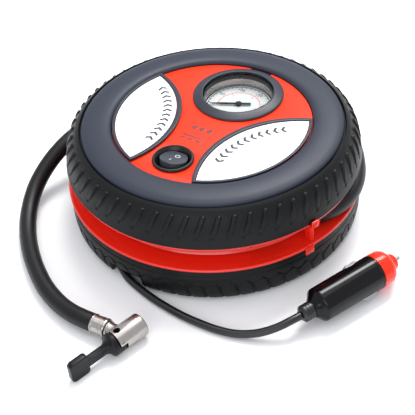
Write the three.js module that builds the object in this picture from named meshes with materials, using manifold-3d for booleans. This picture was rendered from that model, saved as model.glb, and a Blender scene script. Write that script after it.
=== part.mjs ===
// Portable 12 V tyre inflator in the shape of a small car tyre lying flat.
// Millimetres, +Z up. The origin is on the floor, on the tyre's axis.
// +Y runs from the switch towards the pressure gauge.
import * as THREE from 'three';
import { mergeVertices } from 'three/addons/utils/BufferGeometryUtils.js';
import Module from 'manifold-3d';

const wasm = await Module();
wasm.setup();

// ---------------------------------------------------------------- driving dimensions
const TYRE_R = 82.6; // widest radius of the upper tyre
const TOP_Z = 59.2; // crest of the ring round the face
const GAP = 0.3; // clearance between neighbouring pieces
const RING_STEPS = 48; // facets round the large rings

const CHANNEL_LOW_Z = 21.6; // top of the lower tyre
const CHANNEL_HIGH_Z = 37; // bottom edge of the upper tyre
const DRUM_IN_R = 68;
const DRUM_R = 71;
const RIM_R = 82; // outside of the channel's upper rim
const GATE_DEG = -20.2; // the post that closes the channel beside the clip

const FACE_R = 55.4; // inside edge of the ring round the face
const FACE_Z = 56.4; // top of the red panel

const GAUGE_X = 1;
const GAUGE_Y = 27.4;
const GAUGE_CASE_R = 20.2;
const GAUGE_FLOOR_Z = 40.2;
const DIAL_Z = 48.9;
const NEEDLE_REST_DEG = 205;

const SWITCH_Y = -39.2;
const SWITCH_R = 11.1;
const ROCKER_PIVOT_Z = 54.6;
const ROCKER_R = 7.35;
const ROCKER_OFF_DEG = -13;

const DRIVE_Z = 29.3; // height of the motor, crank and cylinder axes
const MOTOR_Y = -27;
const MOTOR_R = 13.8;
const GEAR_MODULE = 0.7;
const PINION_TEETH = 9;
const GEAR_TEETH = 38;
const GEAR_Y = MOTOR_Y + 16.6; // half of 47 teeth at module 0.7, plus backlash
const CRANK_R = 7;
const CYLINDER_X = -2.3;
const BORE_R = 7.9;

const BOSS_R = 63.5;
const FOOT_R = 38;
const BOSS_DEG = [50, 130, 230, 310];

const HUB_R = 46.5; // wall of the winding hub under the base
const CORD_R = 2.1;
const COIL_IN_R = 54.2;
const COIL_OUT_R = 71.6;

const HOSE_R = 4.85;
const HOSE_Z = 29.1; // height of the hose while it lies in the channel
const PORT_HEADING = 54;

const CHUCK_X = 17.1; // lever pin of the chuck
const CHUCK_Y = -117.4;
const CHUCK_Z = 6.4;
const CHUCK_HEADING = 74;
const BARREL_R = 6.35;
const NECK_TILT = 108; // from the barrel's axis to its hose neck
const LEVER_PIVOT = -4.5; // along and across the barrel

const PLUG_X = 89.0; // hose end of the plug's boot
const PLUG_Y = -66.1;
const PLUG_Z = 9.7;
const PLUG_HEADING = 66.2;
const PLUG_R = 9.4;

// ---------------------------------------------------------------- geometry helpers
const degrees = (value) => (value * Math.PI) / 180;

/** Merges shared vertices, drops collapsed triangles and turns the faces outwards. */
function closed(geometry) {
  geometry.deleteAttribute('normal');
  geometry.deleteAttribute('uv');
  const merged = mergeVertices(geometry, 1e-4);
  const place = merged.attributes.position;
  const kept = [];
  let volume = 0;
  const a = new THREE.Vector3();
  const b = new THREE.Vector3();
  const c = new THREE.Vector3();
  const source = merged.index.array;
  for (let i = 0; i < source.length; i += 3) {
    const [p, q, r] = [source[i], source[i + 1], source[i + 2]];
    if (p === q || q === r || r === p) continue;
    kept.push(p, q, r);
    a.fromBufferAttribute(place, p);
    b.fromBufferAttribute(place, q);
    c.fromBufferAttribute(place, r);
    volume += a.dot(b.cross(c));
  }
  if (volume < 0) {
    for (let i = 0; i < kept.length; i += 3) {
      [kept[i + 1], kept[i + 2]] = [kept[i + 2], kept[i + 1]];
    }
  }
  merged.setIndex(kept);
  return merged;
}

function toSolid(geometry) {
  const mesh = closed(geometry);
  const vertProperties = new Float32Array(mesh.attributes.position.array);
  const triVerts = new Uint32Array(mesh.index.array);
  return new wasm.Manifold(new wasm.Mesh({ numProp: 3, vertProperties, triVerts }));
}

function toGeometry(solid) {
  const mesh = solid.getMesh();
  const geometry = new THREE.BufferGeometry();
  geometry.setAttribute('position', new THREE.BufferAttribute(new Float32Array(mesh.vertProperties), 3));
  geometry.setIndex(Array.from(mesh.triVerts));
  return geometry;
}

/** base + joined - cut, all given as geometries. */
function combine(base, { join = [], cut = [], keep = [] }) {
  let solid = toSolid(base);
  for (const piece of join) solid = solid.add(toSolid(piece));
  for (const piece of keep) solid = solid.intersect(toSolid(piece));
  for (const piece of cut) solid = solid.subtract(toSolid(piece));
  return toGeometry(solid);
}

/** Revolves [radius, height] points about Z. A ring's profile closes on itself. */
function revolve(profile, segments = 48, ring = true) {
  const points = profile.map(([r, z]) => new THREE.Vector2(r, z));
  if (ring) points.push(points[0].clone());
  const geometry = new THREE.LatheGeometry(points, segments);
  geometry.rotateX(Math.PI / 2);
  return closed(geometry);
}

/** A round bar along Z from one height to another. */
function bar(radius, low, high, segments = 24) {
  const geometry = new THREE.CylinderGeometry(radius, radius, high - low, segments);
  geometry.rotateX(Math.PI / 2);
  geometry.translate(0, 0, (low + high) / 2);
  return geometry;
}

function tube(outer, inner, low, high, segments = 32) {
  return revolve([[inner, low], [outer, low], [outer, high], [inner, high]], segments);
}

function block(low, high) {
  const size = high.map((value, i) => value - low[i]);
  const geometry = new THREE.BoxGeometry(...size);
  geometry.translate(...high.map((value, i) => (value + low[i]) / 2));
  return geometry;
}

/** Turns something built along Z so that its axis is X, with its own x along Y. */
function alongX(geometry) {
  const basis = new THREE.Matrix4().makeBasis(
    new THREE.Vector3(0, 1, 0),
    new THREE.Vector3(0, 0, 1),
    new THREE.Vector3(1, 0, 0),
  );
  return geometry.applyMatrix4(basis);
}

/** Turns something built along Z so that its axis is Y, with its own x along Z. */
function alongY(geometry) {
  const basis = new THREE.Matrix4().makeBasis(
    new THREE.Vector3(0, 0, 1),
    new THREE.Vector3(1, 0, 0),
    new THREE.Vector3(0, 1, 0),
  );
  return geometry.applyMatrix4(basis);
}

function turned(geometry, angle, x = 0, y = 0, z = 0) {
  geometry.rotateZ(degrees(angle));
  geometry.translate(x, y, z);
  return geometry;
}

/** A round section swept along a smooth curve through the points. */
function sweep(points, radius, steps, sides = 10) {
  const stations = points.map((point) => new THREE.Vector3(...point));
  const curve = new THREE.CatmullRomCurve3(stations, false, 'centripetal');
  const section = new THREE.Shape();
  for (let i = 0; i < sides; i += 1) {
    const angle = (2 * Math.PI * i) / sides;
    const [x, y] = [radius * Math.cos(angle), radius * Math.sin(angle)];
    if (i === 0) section.moveTo(x, y);
    else section.lineTo(x, y);
  }
  section.closePath();
  return new THREE.ExtrudeGeometry(section, { steps, extrudePath: curve, bevelEnabled: false });
}

const polar = (radius, angle, z) => [radius * Math.cos(degrees(angle)), radius * Math.sin(degrees(angle)), z];

// ---------------------------------------------------------------- materials
function finish(color, roughness, metalness = 0) {
  return new THREE.MeshStandardMaterial({ color, roughness, metalness });
}


const BLACK_SHELL = finish(0x2b2d31, 0.5);
const TREAD = finish(0x222427, 0.7);
const RED = finish(0xe8281c, 0.3);
const PANEL_RED = finish(0xf0401f, 0.4);
const WHITE = finish(0xf2f3f5, 0.4);
const GLOSS_BLACK = finish(0x101114, 0.2);
const RUBBER = finish(0x1c1d20, 0.8);
const CHROME = finish(0xd8dade, 0.12, 1);
const STEEL = finish(0xa9adb3, 0.35, 1);
const ALUMINIUM = finish(0xb9bdc2, 0.45, 1);
const BRASS = finish(0xc9a24d, 0.35, 1);
const NYLON = finish(0xe4e0d2, 0.5);
const CLEAR = finish(0xe8f2f6, 0.05);

const inflator = new THREE.Group();

function add(name, geometry, material) {
  const mesh = new THREE.Mesh(closed(geometry), material);
  mesh.name = name;
  inflator.add(mesh);
}

// ---------------------------------------------------------------- tyre shells and channel
/** Upper shell: ring round the face, crease, tread wall and four screw bosses. */
function upperTyreShell() {
  const profile = [
    [80.8, CHANNEL_HIGH_Z], [82.3, CHANNEL_HIGH_Z], [TYRE_R, 38.4], [81.9, 43], [80.4, 48], [78.1, 52.5],
    [75.3, 55.9], [73.4, 57.1], [72.5, 56.2], [71.6, 57.5], [68.4, 58.6], [62.6, TOP_Z], [58.4, 58.9],
    [56.2, 58.1], [FACE_R, 57.2], [FACE_R, 53], [51.8, 53], [51.8, 50.6], [56.4, 50.6], [57, 55.4],
    [62.6, 56.6], [68.4, 56],
    [72.4, 53.8], [75.8, 50.2], [78, 46], [79.4, 41],
  ];
  const bosses = BOSS_DEG.map((angle) => turned(bar(3.4, 37.3, 57.6, 16), 0, ...polar(BOSS_R, angle, 0)));
  const pilots = BOSS_DEG.map((angle) => turned(bar(1.4, 30, 48, 12), 0, ...polar(BOSS_R, angle, 0)));
  return combine(revolve(profile, RING_STEPS), { join: bosses, cut: pilots });
}

/** Lower shell: an open ring with a wide notch in its foot where the cord leaves. */
function lowerTyreShell() {
  const profile = [
    [78.4, 0.9], [80, 0.9], [81.4, 1.9], [82.5, 5], [82.9, 10], [82.8, 16], [82.2, 20.6],
    [81.5, CHANNEL_LOW_Z], [76, CHANNEL_LOW_Z], [76, 19.6], [79.2, 19], [79.6, 14], [79.5, 4],
  ];
  const notch = turned(block([74, -10.5, -1], [86, 10.5, 6.6]), -95);
  return combine(revolve(profile, RING_STEPS), { cut: [notch] });
}

/** A tab of the hose clip: a foot under the rim and a lip outside the tyre's edge. */
function clipTab(angle, width, foot, lip) {
  const pieces = [foot, lip].map(([innerR, outerR, low, high]) =>
    turned(block([innerR, -width / 2, low], [outerR, width / 2, high]), angle));
  return pieces;
}

function channelUpperRim() {
  const profile = [
    [DRUM_IN_R, 34.9], [80.2, 34.9], [81.6, 35.2], [RIM_R, 35.7], [RIM_R, 36.3], [81.5, 36.7],
    [DRUM_IN_R, 36.7],
  ];
  const tab = clipTab(-21, 4.6, [78, 84.2, 34.9, 36.5], [83.1, 84.2, 34.9, 39.4]);
  return combine(revolve(profile, RING_STEPS), { join: tab });
}

function channelDrum() {
  const low = 24;
  const high = 34.6;
  const profile = [
    [DRUM_IN_R, low], [DRUM_R + 1.4, low], [DRUM_R + 0.3, 25.8], [DRUM_R, HOSE_Z], [DRUM_R + 0.3, 32.6],
    [DRUM_R + 1.4, high], [DRUM_IN_R, high],
  ];
  const bore = alongX(bar(5.5, -40, 6, 24));
  const end = portEnd();
  turned(bore, PORT_HEADING, end[0], end[1], HOSE_Z);
  return combine(revolve(profile, RING_STEPS), { cut: [bore] });
}

function channelLowerRim() {
  const profile = [
    [DRUM_IN_R, 21.9], [83, 21.9], [83.5, 22.3], [83.5, 23], [82.9, 23.5], [81.1, 23.3], [76, 23.4],
    [DRUM_IN_R, 23.7],
  ];
  const tab = clipTab(-23.3, 5.6, [80, 84.7, 21.9, 23.3], [83.4, 84.7, 19, 23.3]);
  const gate = turned(block([76, -1.2, 23], [81, 1.2, 34.6]), GATE_DEG);
  return combine(revolve(profile, RING_STEPS), { join: [...tab, gate] });
}

add('upper_tyre_shell', upperTyreShell(), BLACK_SHELL);
add('lower_tyre_shell', lowerTyreShell(), TREAD);
add('channel_upper_rim', channelUpperRim(), RED);
add('channel_drum', channelDrum(), RED);
add('channel_lower_rim', channelLowerRim(), RED);

// ---------------------------------------------------------------- face panel
function topPanel() {
  const gaugeHole = turned(bar(21.8, 50, 60, 36), 0, GAUGE_X, GAUGE_Y);
  const switchHole = turned(bar(10.2, 50, 60, 32), 0, 0, SWITCH_Y);
  const slot = block([-5.8, 53.4, 54.8], [7.6, 60, 60]);
  return combine(bar(FACE_R - GAP, 53.3, FACE_Z, RING_STEPS), { cut: [gaugeHole, switchHole, slot] });
}

/** The lens-shaped area between the panel's edge and an arc that bulges to the waist. */
function lensArea(side, outerR, arcX, arcY, arcR, low, high) {
  const arc = turned(bar(arcR, low - 1, high + 1, 96), 0, side * arcX, arcY);
  return combine(bar(outerR, low, high, 96), { keep: [arc] });
}

const inlayPocket = (side, low, high) => lensArea(side, 53.4, 68.4, -27.2, 53.2, low, high);

function inlayFrame(side) {
  const outline = lensArea(side, 54.9, 66, -26.1, 53.4, FACE_Z + GAP, 58.2);
  return combine(outline, { cut: [inlayPocket(side, 50, 60)] });
}

const inlay = (side) => lensArea(side, 53.1, 68.4, -27.2, 52.9, FACE_Z + GAP, 57.7);

add('top_panel', topPanel(), PANEL_RED);
add('left_inlay_frame', inlayFrame(-1), BLACK_SHELL);
add('right_inlay_frame', inlayFrame(1), BLACK_SHELL);
add('left_inlay', inlay(-1), WHITE);
add('right_inlay', inlay(1), WHITE);

// ---------------------------------------------------------------- pressure gauge
const onGauge = (geometry, angle = 0) => turned(geometry, angle, GAUGE_X, GAUGE_Y);

function gaugeBezel() {
  const profile = [
    [20, 58.8], [20.6, 58.8], [20.6, 48], [21.4, 48], [21.4, FACE_Z + GAP], [25.5, FACE_Z + GAP],
    [25.9, 57.1], [25.2, 57.7], [21.3, TOP_Z], [20.3, TOP_Z], [20, 59],
  ];
  return onGauge(revolve(profile, 36));
}

function gaugeCase() {
  const wall = 0.7;
  const profile = [
    [0, GAUGE_FLOOR_Z], [GAUGE_CASE_R, GAUGE_FLOOR_Z], [GAUGE_CASE_R, 57], [GAUGE_CASE_R - wall, 57],
    [GAUGE_CASE_R - wall, GAUGE_FLOOR_Z + 1], [0, GAUGE_FLOOR_Z + 1],
  ];
  return onGauge(revolve(profile, 36, false));
}

function gaugeNeedle() {
  const pointer = new THREE.Shape();
  pointer.moveTo(-7, -0.75);
  pointer.lineTo(9.4, -0.75);
  pointer.lineTo(16.7, -0.15);
  pointer.lineTo(16.7, 0.15);
  pointer.lineTo(9.4, 0.75);
  pointer.lineTo(-7, 0.75);
  pointer.closePath();
  const blade = new THREE.ExtrudeGeometry(pointer, { depth: 0.5, bevelEnabled: false });
  blade.translate(0, 0, DIAL_Z + 1.4);
  const hub = bar(1.8, DIAL_Z + 1.2, DIAL_Z + 2.5, 20);
  const spindle = bar(0.8, DIAL_Z - 1.3, DIAL_Z + 1.6, 12);
  const needle = combine(blade, { join: [hub, spindle] });
  return onGauge(needle, NEEDLE_REST_DEG);
}

/** The curved, flattened spring tube that drives the needle, open at neither end. */
function bourdonTube() {
  const path = [];
  for (let angle = -60; angle <= 190; angle += 12.5) path.push(polar(14, angle, 43.6));
  return onGauge(sweep(path, 1.5, 26, 8));
}

add('gauge_bezel', gaugeBezel(), GLOSS_BLACK);
add('gauge_lens', onGauge(bar(20.3, 57.3, 58.5, 36)), CLEAR);
add('gauge_case', gaugeCase(), CHROME);
add('gauge_dial', onGauge(tube(19.2, 1.1, DIAL_Z, DIAL_Z + 0.6, 36)), WHITE);
add('gauge_needle', gaugeNeedle(), GLOSS_BLACK);
add('gauge_bourdon_tube', bourdonTube(), BRASS);
add('gauge_stem', turned(bar(2.4, 32.3, GAUGE_FLOOR_Z - GAP, 16), 0, 10.4, 36.6), BRASS);

// ---------------------------------------------------------------- rocker switch
function switchHousing() {
  const profile = [
    [0, 46.5], [9.9, 46.5], [9.9, FACE_Z + GAP], [SWITCH_R, FACE_Z + GAP], [SWITCH_R, 57.5], [10.5, 58],
    [9.9, 58], [9.5, 57.5], [8.1, 54.4], [7.9, 53.6], [7.9, 49.2], [0, 49.2],
  ];
  const blades = [-4, 4].map((x) => block([x - 0.4, -5, 41.5], [x + 0.4, -0.5, 47]));
  const housing = combine(revolve(profile, 28, false), { join: blades });
  return turned(housing, 0, 0, SWITCH_Y);
}

/** A round rocker with a shallow V top. Its edges stay on a circle about the pivot. */
function switchRocker() {
  const side = new THREE.Shape();
  side.moveTo(7, 3);
  side.lineTo(0, 2.5);
  side.lineTo(-7, 3);
  side.lineTo(-7.4, 0);
  side.lineTo(-6.8, -3.4);
  side.lineTo(6.8, -3.4);
  side.lineTo(7.4, 0);
  side.closePath();
  const slab = new THREE.ExtrudeGeometry(side, { depth: 20, bevelEnabled: false });
  slab.translate(0, 0, -10);
  const rocker = combine(alongX(slab), { keep: [bar(ROCKER_R, -6, 6, 40)] });
  rocker.rotateX(degrees(ROCKER_OFF_DEG));
  rocker.translate(0, SWITCH_Y, ROCKER_PIVOT_Z);
  return rocker;
}

add('switch_housing', switchHousing(), GLOSS_BLACK);
add('switch_rocker', switchRocker(), GLOSS_BLACK);

// ---------------------------------------------------------------- base, hub, feet, screws
function basePlate() {
  const holes = BOSS_DEG.map((angle) => turned(bar(1.9, 10, 20, 16), 0, ...polar(BOSS_R, angle, 0)));
  const wireHole = turned(bar(3, 10, 20, 16), 0, 30, 20);
  return combine(bar(78.2, 13.2, 15.2, RING_STEPS), { cut: [...holes, wireHole] });
}

function windingHub() {
  const profile = [[0, 2.2], [HUB_R, 2.2], [HUB_R, 12.9], [HUB_R - 2.2, 12.9], [HUB_R - 2.2, 4.4], [0, 4.4]];
  return revolve(profile, 48, false);
}

function caseScrew(angle) {
  const screw = combine(bar(3, 11.4, 12.9, 20), { join: [bar(1.1, 12.5, 46, 12)] });
  return turned(screw, 0, ...polar(BOSS_R, angle, 0));
}

add('base_plate', basePlate(), BLACK_SHELL);
add('winding_hub', windingHub(), BLACK_SHELL);
BOSS_DEG.forEach((angle, i) => {
  const foot = revolve([[0, 0], [5, 0], [5.6, 0.5], [5.6, 1.9], [0, 1.9]], 24, false);
  add(`foot_${i + 1}`, turned(foot, 0, ...polar(FOOT_R, angle, 0)), RUBBER);
  add(`case_screw_${i + 1}`, caseScrew(angle), STEEL);
});

// ---------------------------------------------------------------- motor, gears and crank
function placeOnDrive(geometry, x, y) {
  const piece = alongX(geometry);
  piece.translate(x, y, DRIVE_Z);
  return piece;
}

/** Straight-flanked gear, teeth centred on phase + k pitches, with a round bore. */
function gear(teeth, phase, thickness, boreR) {
  const pitchR = (GEAR_MODULE * teeth) / 2;
  const tipR = pitchR + 0.6;
  const rootR = pitchR - 0.85;
  const half = (Math.PI * GEAR_MODULE) / 4 - 0.08;
  const outline = new THREE.Shape();
  const corners = [[rootR, -1.55 * half], [tipR, -0.55 * half], [tipR, 0.55 * half], [rootR, 1.55 * half]];
  for (let i = 0; i < teeth; i += 1) {
    const middle = degrees(phase) + (2 * Math.PI * i) / teeth;
    corners.forEach(([radius, offset], k) => {
      const angle = middle + offset / pitchR;
      const [x, y] = [radius * Math.cos(angle), radius * Math.sin(angle)];
      if (i === 0 && k === 0) outline.moveTo(x, y);
      else outline.lineTo(x, y);
    });
  }
  outline.closePath();
  const bore = new THREE.Path();
  bore.absarc(0, 0, boreR, 0, 2 * Math.PI, true);
  outline.holes.push(bore);
  return new THREE.ExtrudeGeometry(outline, { depth: thickness, bevelEnabled: false, curveSegments: 16 });
}

function motorCan() {
  const can = bar(MOTOR_R, 0, 34.4, 40);
  const nose = bar(4.5, 34, 35.4, 24);
  return placeOnDrive(combine(can, { join: [nose], cut: [bar(1.4, 30, 40, 12)] }), -50, MOTOR_Y);
}

function crankGear() {
  const wheel = gear(GEAR_TEETH, 180, 3.6, 1.9);
  const hub = tube(4, 1.9, 0, 4.4, 24);
  const pin = turned(bar(1.6, 3, 7.4, 16), 0, -CRANK_R, 0);
  return placeOnDrive(combine(wheel, { join: [hub, pin] }), -11.9, GEAR_Y);
}

function gearboxBracket() {
  const plate = block([-14.2, -42, 15.6], [-12.4, 12, 39.8]);
  const shaftHole = placeOnDrive(bar(2, -20, 0, 16), 0, MOTOR_Y);
  const axleHole = placeOnDrive(bar(1.8, -20, 0, 16), 0, GEAR_Y);
  const foot = block([-14.2, -42, 15.6], [-6, -30, 17.4]);
  return combine(plate, { join: [foot], cut: [shaftHole, axleHole] });
}

add('motor_can', motorCan(), STEEL);
add('motor_end_cap', placeOnDrive(bar(13.4, 0, 2.7, 32), -53, MOTOR_Y), NYLON);
add('motor_shaft', placeOnDrive(bar(1, -3.6, 10.4, 12), -14.6, MOTOR_Y), STEEL);
add('motor_pinion', placeOnDrive(gear(PINION_TEETH, 20, 4.6, 1.3), -12.1, MOTOR_Y), BRASS);
add('gearbox_bracket', gearboxBracket(), STEEL);
add('crank_gear', crankGear(), NYLON);
add('gear_axle', placeOnDrive(bar(1.5, 0, 7.1, 16), -14.2, GEAR_Y), STEEL);

// ---------------------------------------------------------------- piston and cylinder
const ROD_EYE_Y = GEAR_Y - CRANK_R; // the crank stands at the bottom of its stroke

function placeOnCylinder(geometry) {
  const piece = alongY(geometry);
  piece.translate(CYLINDER_X, 0, DRIVE_Z);
  return piece;
}

function connectingRod() {
  const eye = alongX(bar(3.6, -1.6, 1.6, 24));
  eye.translate(0, ROD_EYE_Y, 0);
  const beam = block([-1.5, ROD_EYE_Y + 1, -2], [1.5, 9.3, 2]);
  const hole = alongX(bar(1.9, -4, 4, 16));
  hole.translate(0, ROD_EYE_Y, 0);
  const rod = combine(eye, { join: [beam], cut: [hole] });
  rod.translate(CYLINDER_X, 0, DRIVE_Z);
  return rod;
}

/** Head with a valve chamber and a side nipple for the air tube. */
function cylinderHead() {
  const profile = [[2, 32.5], [10, 32.5], [10, 41], [0, 41], [0, 40], [4, 40], [4, 33.7], [2, 33.7]];
  const body = revolve(profile, 32);
  const nipple = turned(bar(2.6, 9, 15.6, 16), 0);
  const bore = bar(1.2, 2, 17, 12);
  const branches = [nipple, bore].map((piece) => piece.rotateY(Math.PI / 2).translate(0, 36.6, 0));
  const head = combine(alongY(body), { join: [branches[0]], cut: [branches[1]] });
  head.translate(CYLINDER_X, 0, DRIVE_Z);
  return head;
}

function valveSpring() {
  const path = [];
  const turns = 3;
  for (let i = 0; i <= turns * 8; i += 1) {
    const angle = (2 * Math.PI * i) / 8;
    path.push([2.5 * Math.cos(angle), 2.5 * Math.sin(angle), 36.3 + (3 * i) / (turns * 8)]);
  }
  return placeOnCylinder(sweep(path, 0.28, 30, 6));
}

add('connecting_rod', connectingRod(), ALUMINIUM);
add('piston', placeOnCylinder(bar(7.2, 9.6, 14.7, 32)), ALUMINIUM);
add('piston_cup', placeOnCylinder(bar(7.5, 15, 17.2, 32)), RUBBER);
add('cylinder', placeOnCylinder(tube(10, BORE_R, 8, 32.2, 40)), ALUMINIUM);
add('cylinder_head', cylinderHead(), ALUMINIUM);
add('outlet_valve', placeOnCylinder(bar(3.3, 34, 35, 20)), RUBBER);
add('valve_spring', valveSpring(), STEEL);
add('air_tube', sweep([
  [13.7, 36.6, DRIVE_Z], [19, 36, DRIVE_Z], [24.5, 32.5, DRIVE_Z], [28, 25, DRIVE_Z], [29, 12, DRIVE_Z],
  [29, -2, DRIVE_Z], [29.5, -16, DRIVE_Z], [31.5, -29, DRIVE_Z], [37, -38.5, DRIVE_Z], [44.5, -42.2, DRIVE_Z],
  [51.8, -40.2, DRIVE_Z], [58.3, -33.4, HOSE_Z],
], 2.6, 26, 8), RUBBER);

// ---------------------------------------------------------------- hose and its chuck
function portEnd() {
  return polar(73.4, -12.3, HOSE_Z);
}

/** A point on the port's axis, the given distance outside its mouth. */
function portPoint(distance) {
  const [x, y, z] = portEnd();
  const [dx, dy] = polar(distance, PORT_HEADING, 0);
  return [x + dx, y + dy, z];
}

/** The collar that leads the hose out of the drum, at a slant. */
function hosePort() {
  const collar = revolve([[1.4, -21.5], [3.2, -21.5], [3.2, -15], [5.1, -14], [5.1, 0], [1.4, 0]], 24);
  const end = portEnd();
  return turned(alongX(collar), PORT_HEADING, end[0], end[1], HOSE_Z);
}

/** A point of the chuck's own frame: along the barrel, then towards the hose neck. */
function chuckPoint(along, across) {
  const [c, s] = [Math.cos(degrees(CHUCK_HEADING)), Math.sin(degrees(CHUCK_HEADING))];
  return [CHUCK_X + along * c - across * s, CHUCK_Y + along * s + across * c, CHUCK_Z];
}

const placeChuck = (geometry) => turned(geometry, CHUCK_HEADING, CHUCK_X, CHUCK_Y, CHUCK_Z);
const neckPoint = (distance) =>
  chuckPoint(distance * Math.cos(degrees(NECK_TILT)), distance * Math.sin(degrees(NECK_TILT)));

function chuckBody() {
  const barrelProfile = [[0, -6.2], [BARREL_R, -6.2], [BARREL_R, 10.4], [5.8, 11], [0, 11]];
  const barrel = alongX(revolve(barrelProfile, 36, false));
  const neckProfile = [
    [0, 4.8], [3.9, 4.8], [3.9, 8.4], [4.4, 8.6], [4.4, 9.6], [2.3, 9.8], [2.3, 17], [0, 17],
  ];
  const neck = alongX(revolve(neckProfile, 24, false));
  neck.rotateZ(degrees(NECK_TILT));
  const mouth = alongX(bar(4.6, 5.2, 12, 28));
  const slot = block([-7, -7, -1.6], [LEVER_PIVOT + 2.2, LEVER_PIVOT + 2.2, 1.6]);
  const pinHole = turned(bar(1.3, -3.2, 3.2, 14), 0, LEVER_PIVOT, LEVER_PIVOT);
  const sightHole = turned(bar(1.8, 2.6, 8, 20), 0, -3.4, 0.7);
  return placeChuck(combine(barrel, { join: [neck], cut: [mouth, slot, pinHole, sightHole] }));
}

function hoseFerrule() {
  const profile = [[2.7, 9.9], [4.9, 9.9], [5.1, 10.3], [5.1, 18.2], [4.8, 18.5], [2.7, 18.5]];
  const ferrule = alongX(revolve(profile, 24));
  ferrule.rotateZ(degrees(NECK_TILT));
  return placeChuck(ferrule);
}

const PADDLE_OUTLINE = [
  [-5.4, -3.6], [-3, -6.2], [3.2, -6.2], [5.2, -4.4], [5.2, 4.4], [3.2, 6.2], [-3, 6.2], [-5.4, 3.6],
];

/** Thumb lever: its eye sits in a slot in a rear corner of the barrel, so it can swing out by 90 degrees. */
function chuckLever() {
  const eye = turned(bar(1.9, -1.3, 1.3, 28), 0, LEVER_PIVOT, LEVER_PIVOT);
  const tongue = block([-7.2, LEVER_PIVOT - 1.6, -1.3], [LEVER_PIVOT, LEVER_PIVOT + 1.6, 1.3]);
  const flare = [[0, -13.4], [2.9, -13.4], [3.6, -11.4], [5, -10], [6.1, -9.2], [6.1, -6.75], [0, -6.75]];
  const shoulder = alongX(revolve(flare, 28, false));
  const arm = block([-24.5, -1.7, -2.4], [-9, 1.7, 2.4]);
  const plate = new THREE.Shape();
  PADDLE_OUTLINE.forEach(([along, up], i) => (i ? plate.lineTo(along, up) : plate.moveTo(along, up)));
  plate.closePath();
  const paddle = new THREE.ExtrudeGeometry(plate, { depth: 3.4, bevelEnabled: false });
  paddle.rotateX(Math.PI / 2);
  paddle.translate(-28.8, 1.7, 0);
  const pinHole = turned(bar(1.2, -8, 8, 14), 0, LEVER_PIVOT, LEVER_PIVOT);
  const lever = combine(eye, { join: [tongue, shoulder, arm, paddle], cut: [pinHole] });
  return placeChuck(lever);
}

const HOSE_ROUTE = [
  portPoint(0.4), portPoint(5), polar(78.4, -2.4, HOSE_Z), polar(80.3, 4.2, HOSE_Z), polar(81, 13, HOSE_Z),
  polar(80.4, 24, HOSE_Z), polar(79.7, 38, HOSE_Z), polar(79.6, 56, HOSE_Z), polar(79.6, 75, HOSE_Z),
  polar(79.6, 94, HOSE_Z), polar(79.6, 113, HOSE_Z), polar(79.6, 132, HOSE_Z), polar(79.8, 150, HOSE_Z),
  polar(80.6, 165, HOSE_Z), polar(82.8, 177, 28.8), [-86.3, -10.5, 27.4], [-89.8, -24.5, 24],
  [-92.1, -37.5, 18.6], [-91.6, -51.5, 12.4], [-85.8, -66.6, 7.6], [-74.8, -81.9, 5.2],
  [-59.6, -96.2, 4.95], [-43, -107.8, 4.95], [-33.8, -112.4, 5], [-24.4, -115.8, 5.3],
  [-15, -117.8, 5.9], neckPoint(24.4), neckPoint(18.8),
];

add('hose_port', hosePort(), RED);
add('hose', sweep(HOSE_ROUTE, HOSE_R, 56, 10), RUBBER);
add('hose_ferrule', hoseFerrule(), CHROME);
add('chuck_body', chuckBody(), CHROME);
add('chuck_seal', placeChuck(alongX(tube(4.2, 1.6, 5.6, 6.7, 20))), RUBBER);
add('chuck_lever', chuckLever(), GLOSS_BLACK);
add('lever_pin', placeChuck(turned(bar(1, -3, 3, 12), 0, LEVER_PIVOT, LEVER_PIVOT)), STEEL);

// ---------------------------------------------------------------- power cord
const placePlug = (geometry) => turned(alongX(geometry), PLUG_HEADING, PLUG_X, PLUG_Y, PLUG_Z);

const plugPoint = (distance) => [
  PLUG_X + distance * Math.cos(degrees(PLUG_HEADING)),
  PLUG_Y + distance * Math.sin(degrees(PLUG_HEADING)),
  PLUG_Z,
];

/** A tapered sleeve that lies along the hub where the cord comes out of it. */
function cordStrainRelief() {
  const profile = [[0, -10], [2.9, -10], [2.9, -6], [2.3, 9.4], [2.3, 10], [0, 10]];
  const sleeve = alongX(revolve(profile, 16, false));
  return turned(sleeve, 90, 49.9, 0, 8.9);
}

const CORD_ROUTE = [
  [-21, -71.3, 4.2], [-14.4, -76.2, 3], [-7.4, -80.5, 2.3], [2.6, -84, 2.2], [12.7, -86.6, 2.2],
  [23.3, -88.4, 2.2],
  [33.4, -89.4, 2.2], [43.6, -89.5, 2.2], [54, -88.8, 2.2], [63.6, -86.9, 2.7], [71.8, -83.6, 4.1],
  [77.6, -80, 5.8], [82.4, -75.7, 7.6], [86, -71.2, 9.1], plugPoint(-0.4),
];

add('cord_strain_relief', cordStrainRelief(), RUBBER);
add('cord_coil', tube(COIL_OUT_R, COIL_IN_R, 2.4, 11.1, 48), RUBBER);
add('power_cord', sweep(CORD_ROUTE, CORD_R, 34, 10), RUBBER);

// ---------------------------------------------------------------- 12 V plug
const CONTACT_ALONG = 38.5; // middle of the two side contacts
const CONTACT_ROLL = 33; // the plug lies rolled, so one contact is high and the other low

function plugBody() {
  const profile = [
    [0, 6.9], [4.6, 6.9], [6.6, 9], [8.6, 10.8], [9.1, 11.8], [PLUG_R, 46], [PLUG_R, 48.3], [3.3, 48.3],
    [3.3, 40], [0, 40],
  ];
  const body = placePlug(revolve(profile, 32, false));
  const windows = [-1, 1].map((side) => {
    const slot = block([CONTACT_ALONG - 6.5, side * 8 - 5, -1.9], [CONTACT_ALONG + 6.5, side * 8 + 5, 1.9]);
    slot.rotateX(degrees(CONTACT_ROLL));
    return turned(slot, PLUG_HEADING, PLUG_X, PLUG_Y, PLUG_Z);
  });
  return combine(body, { cut: windows });
}

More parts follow.
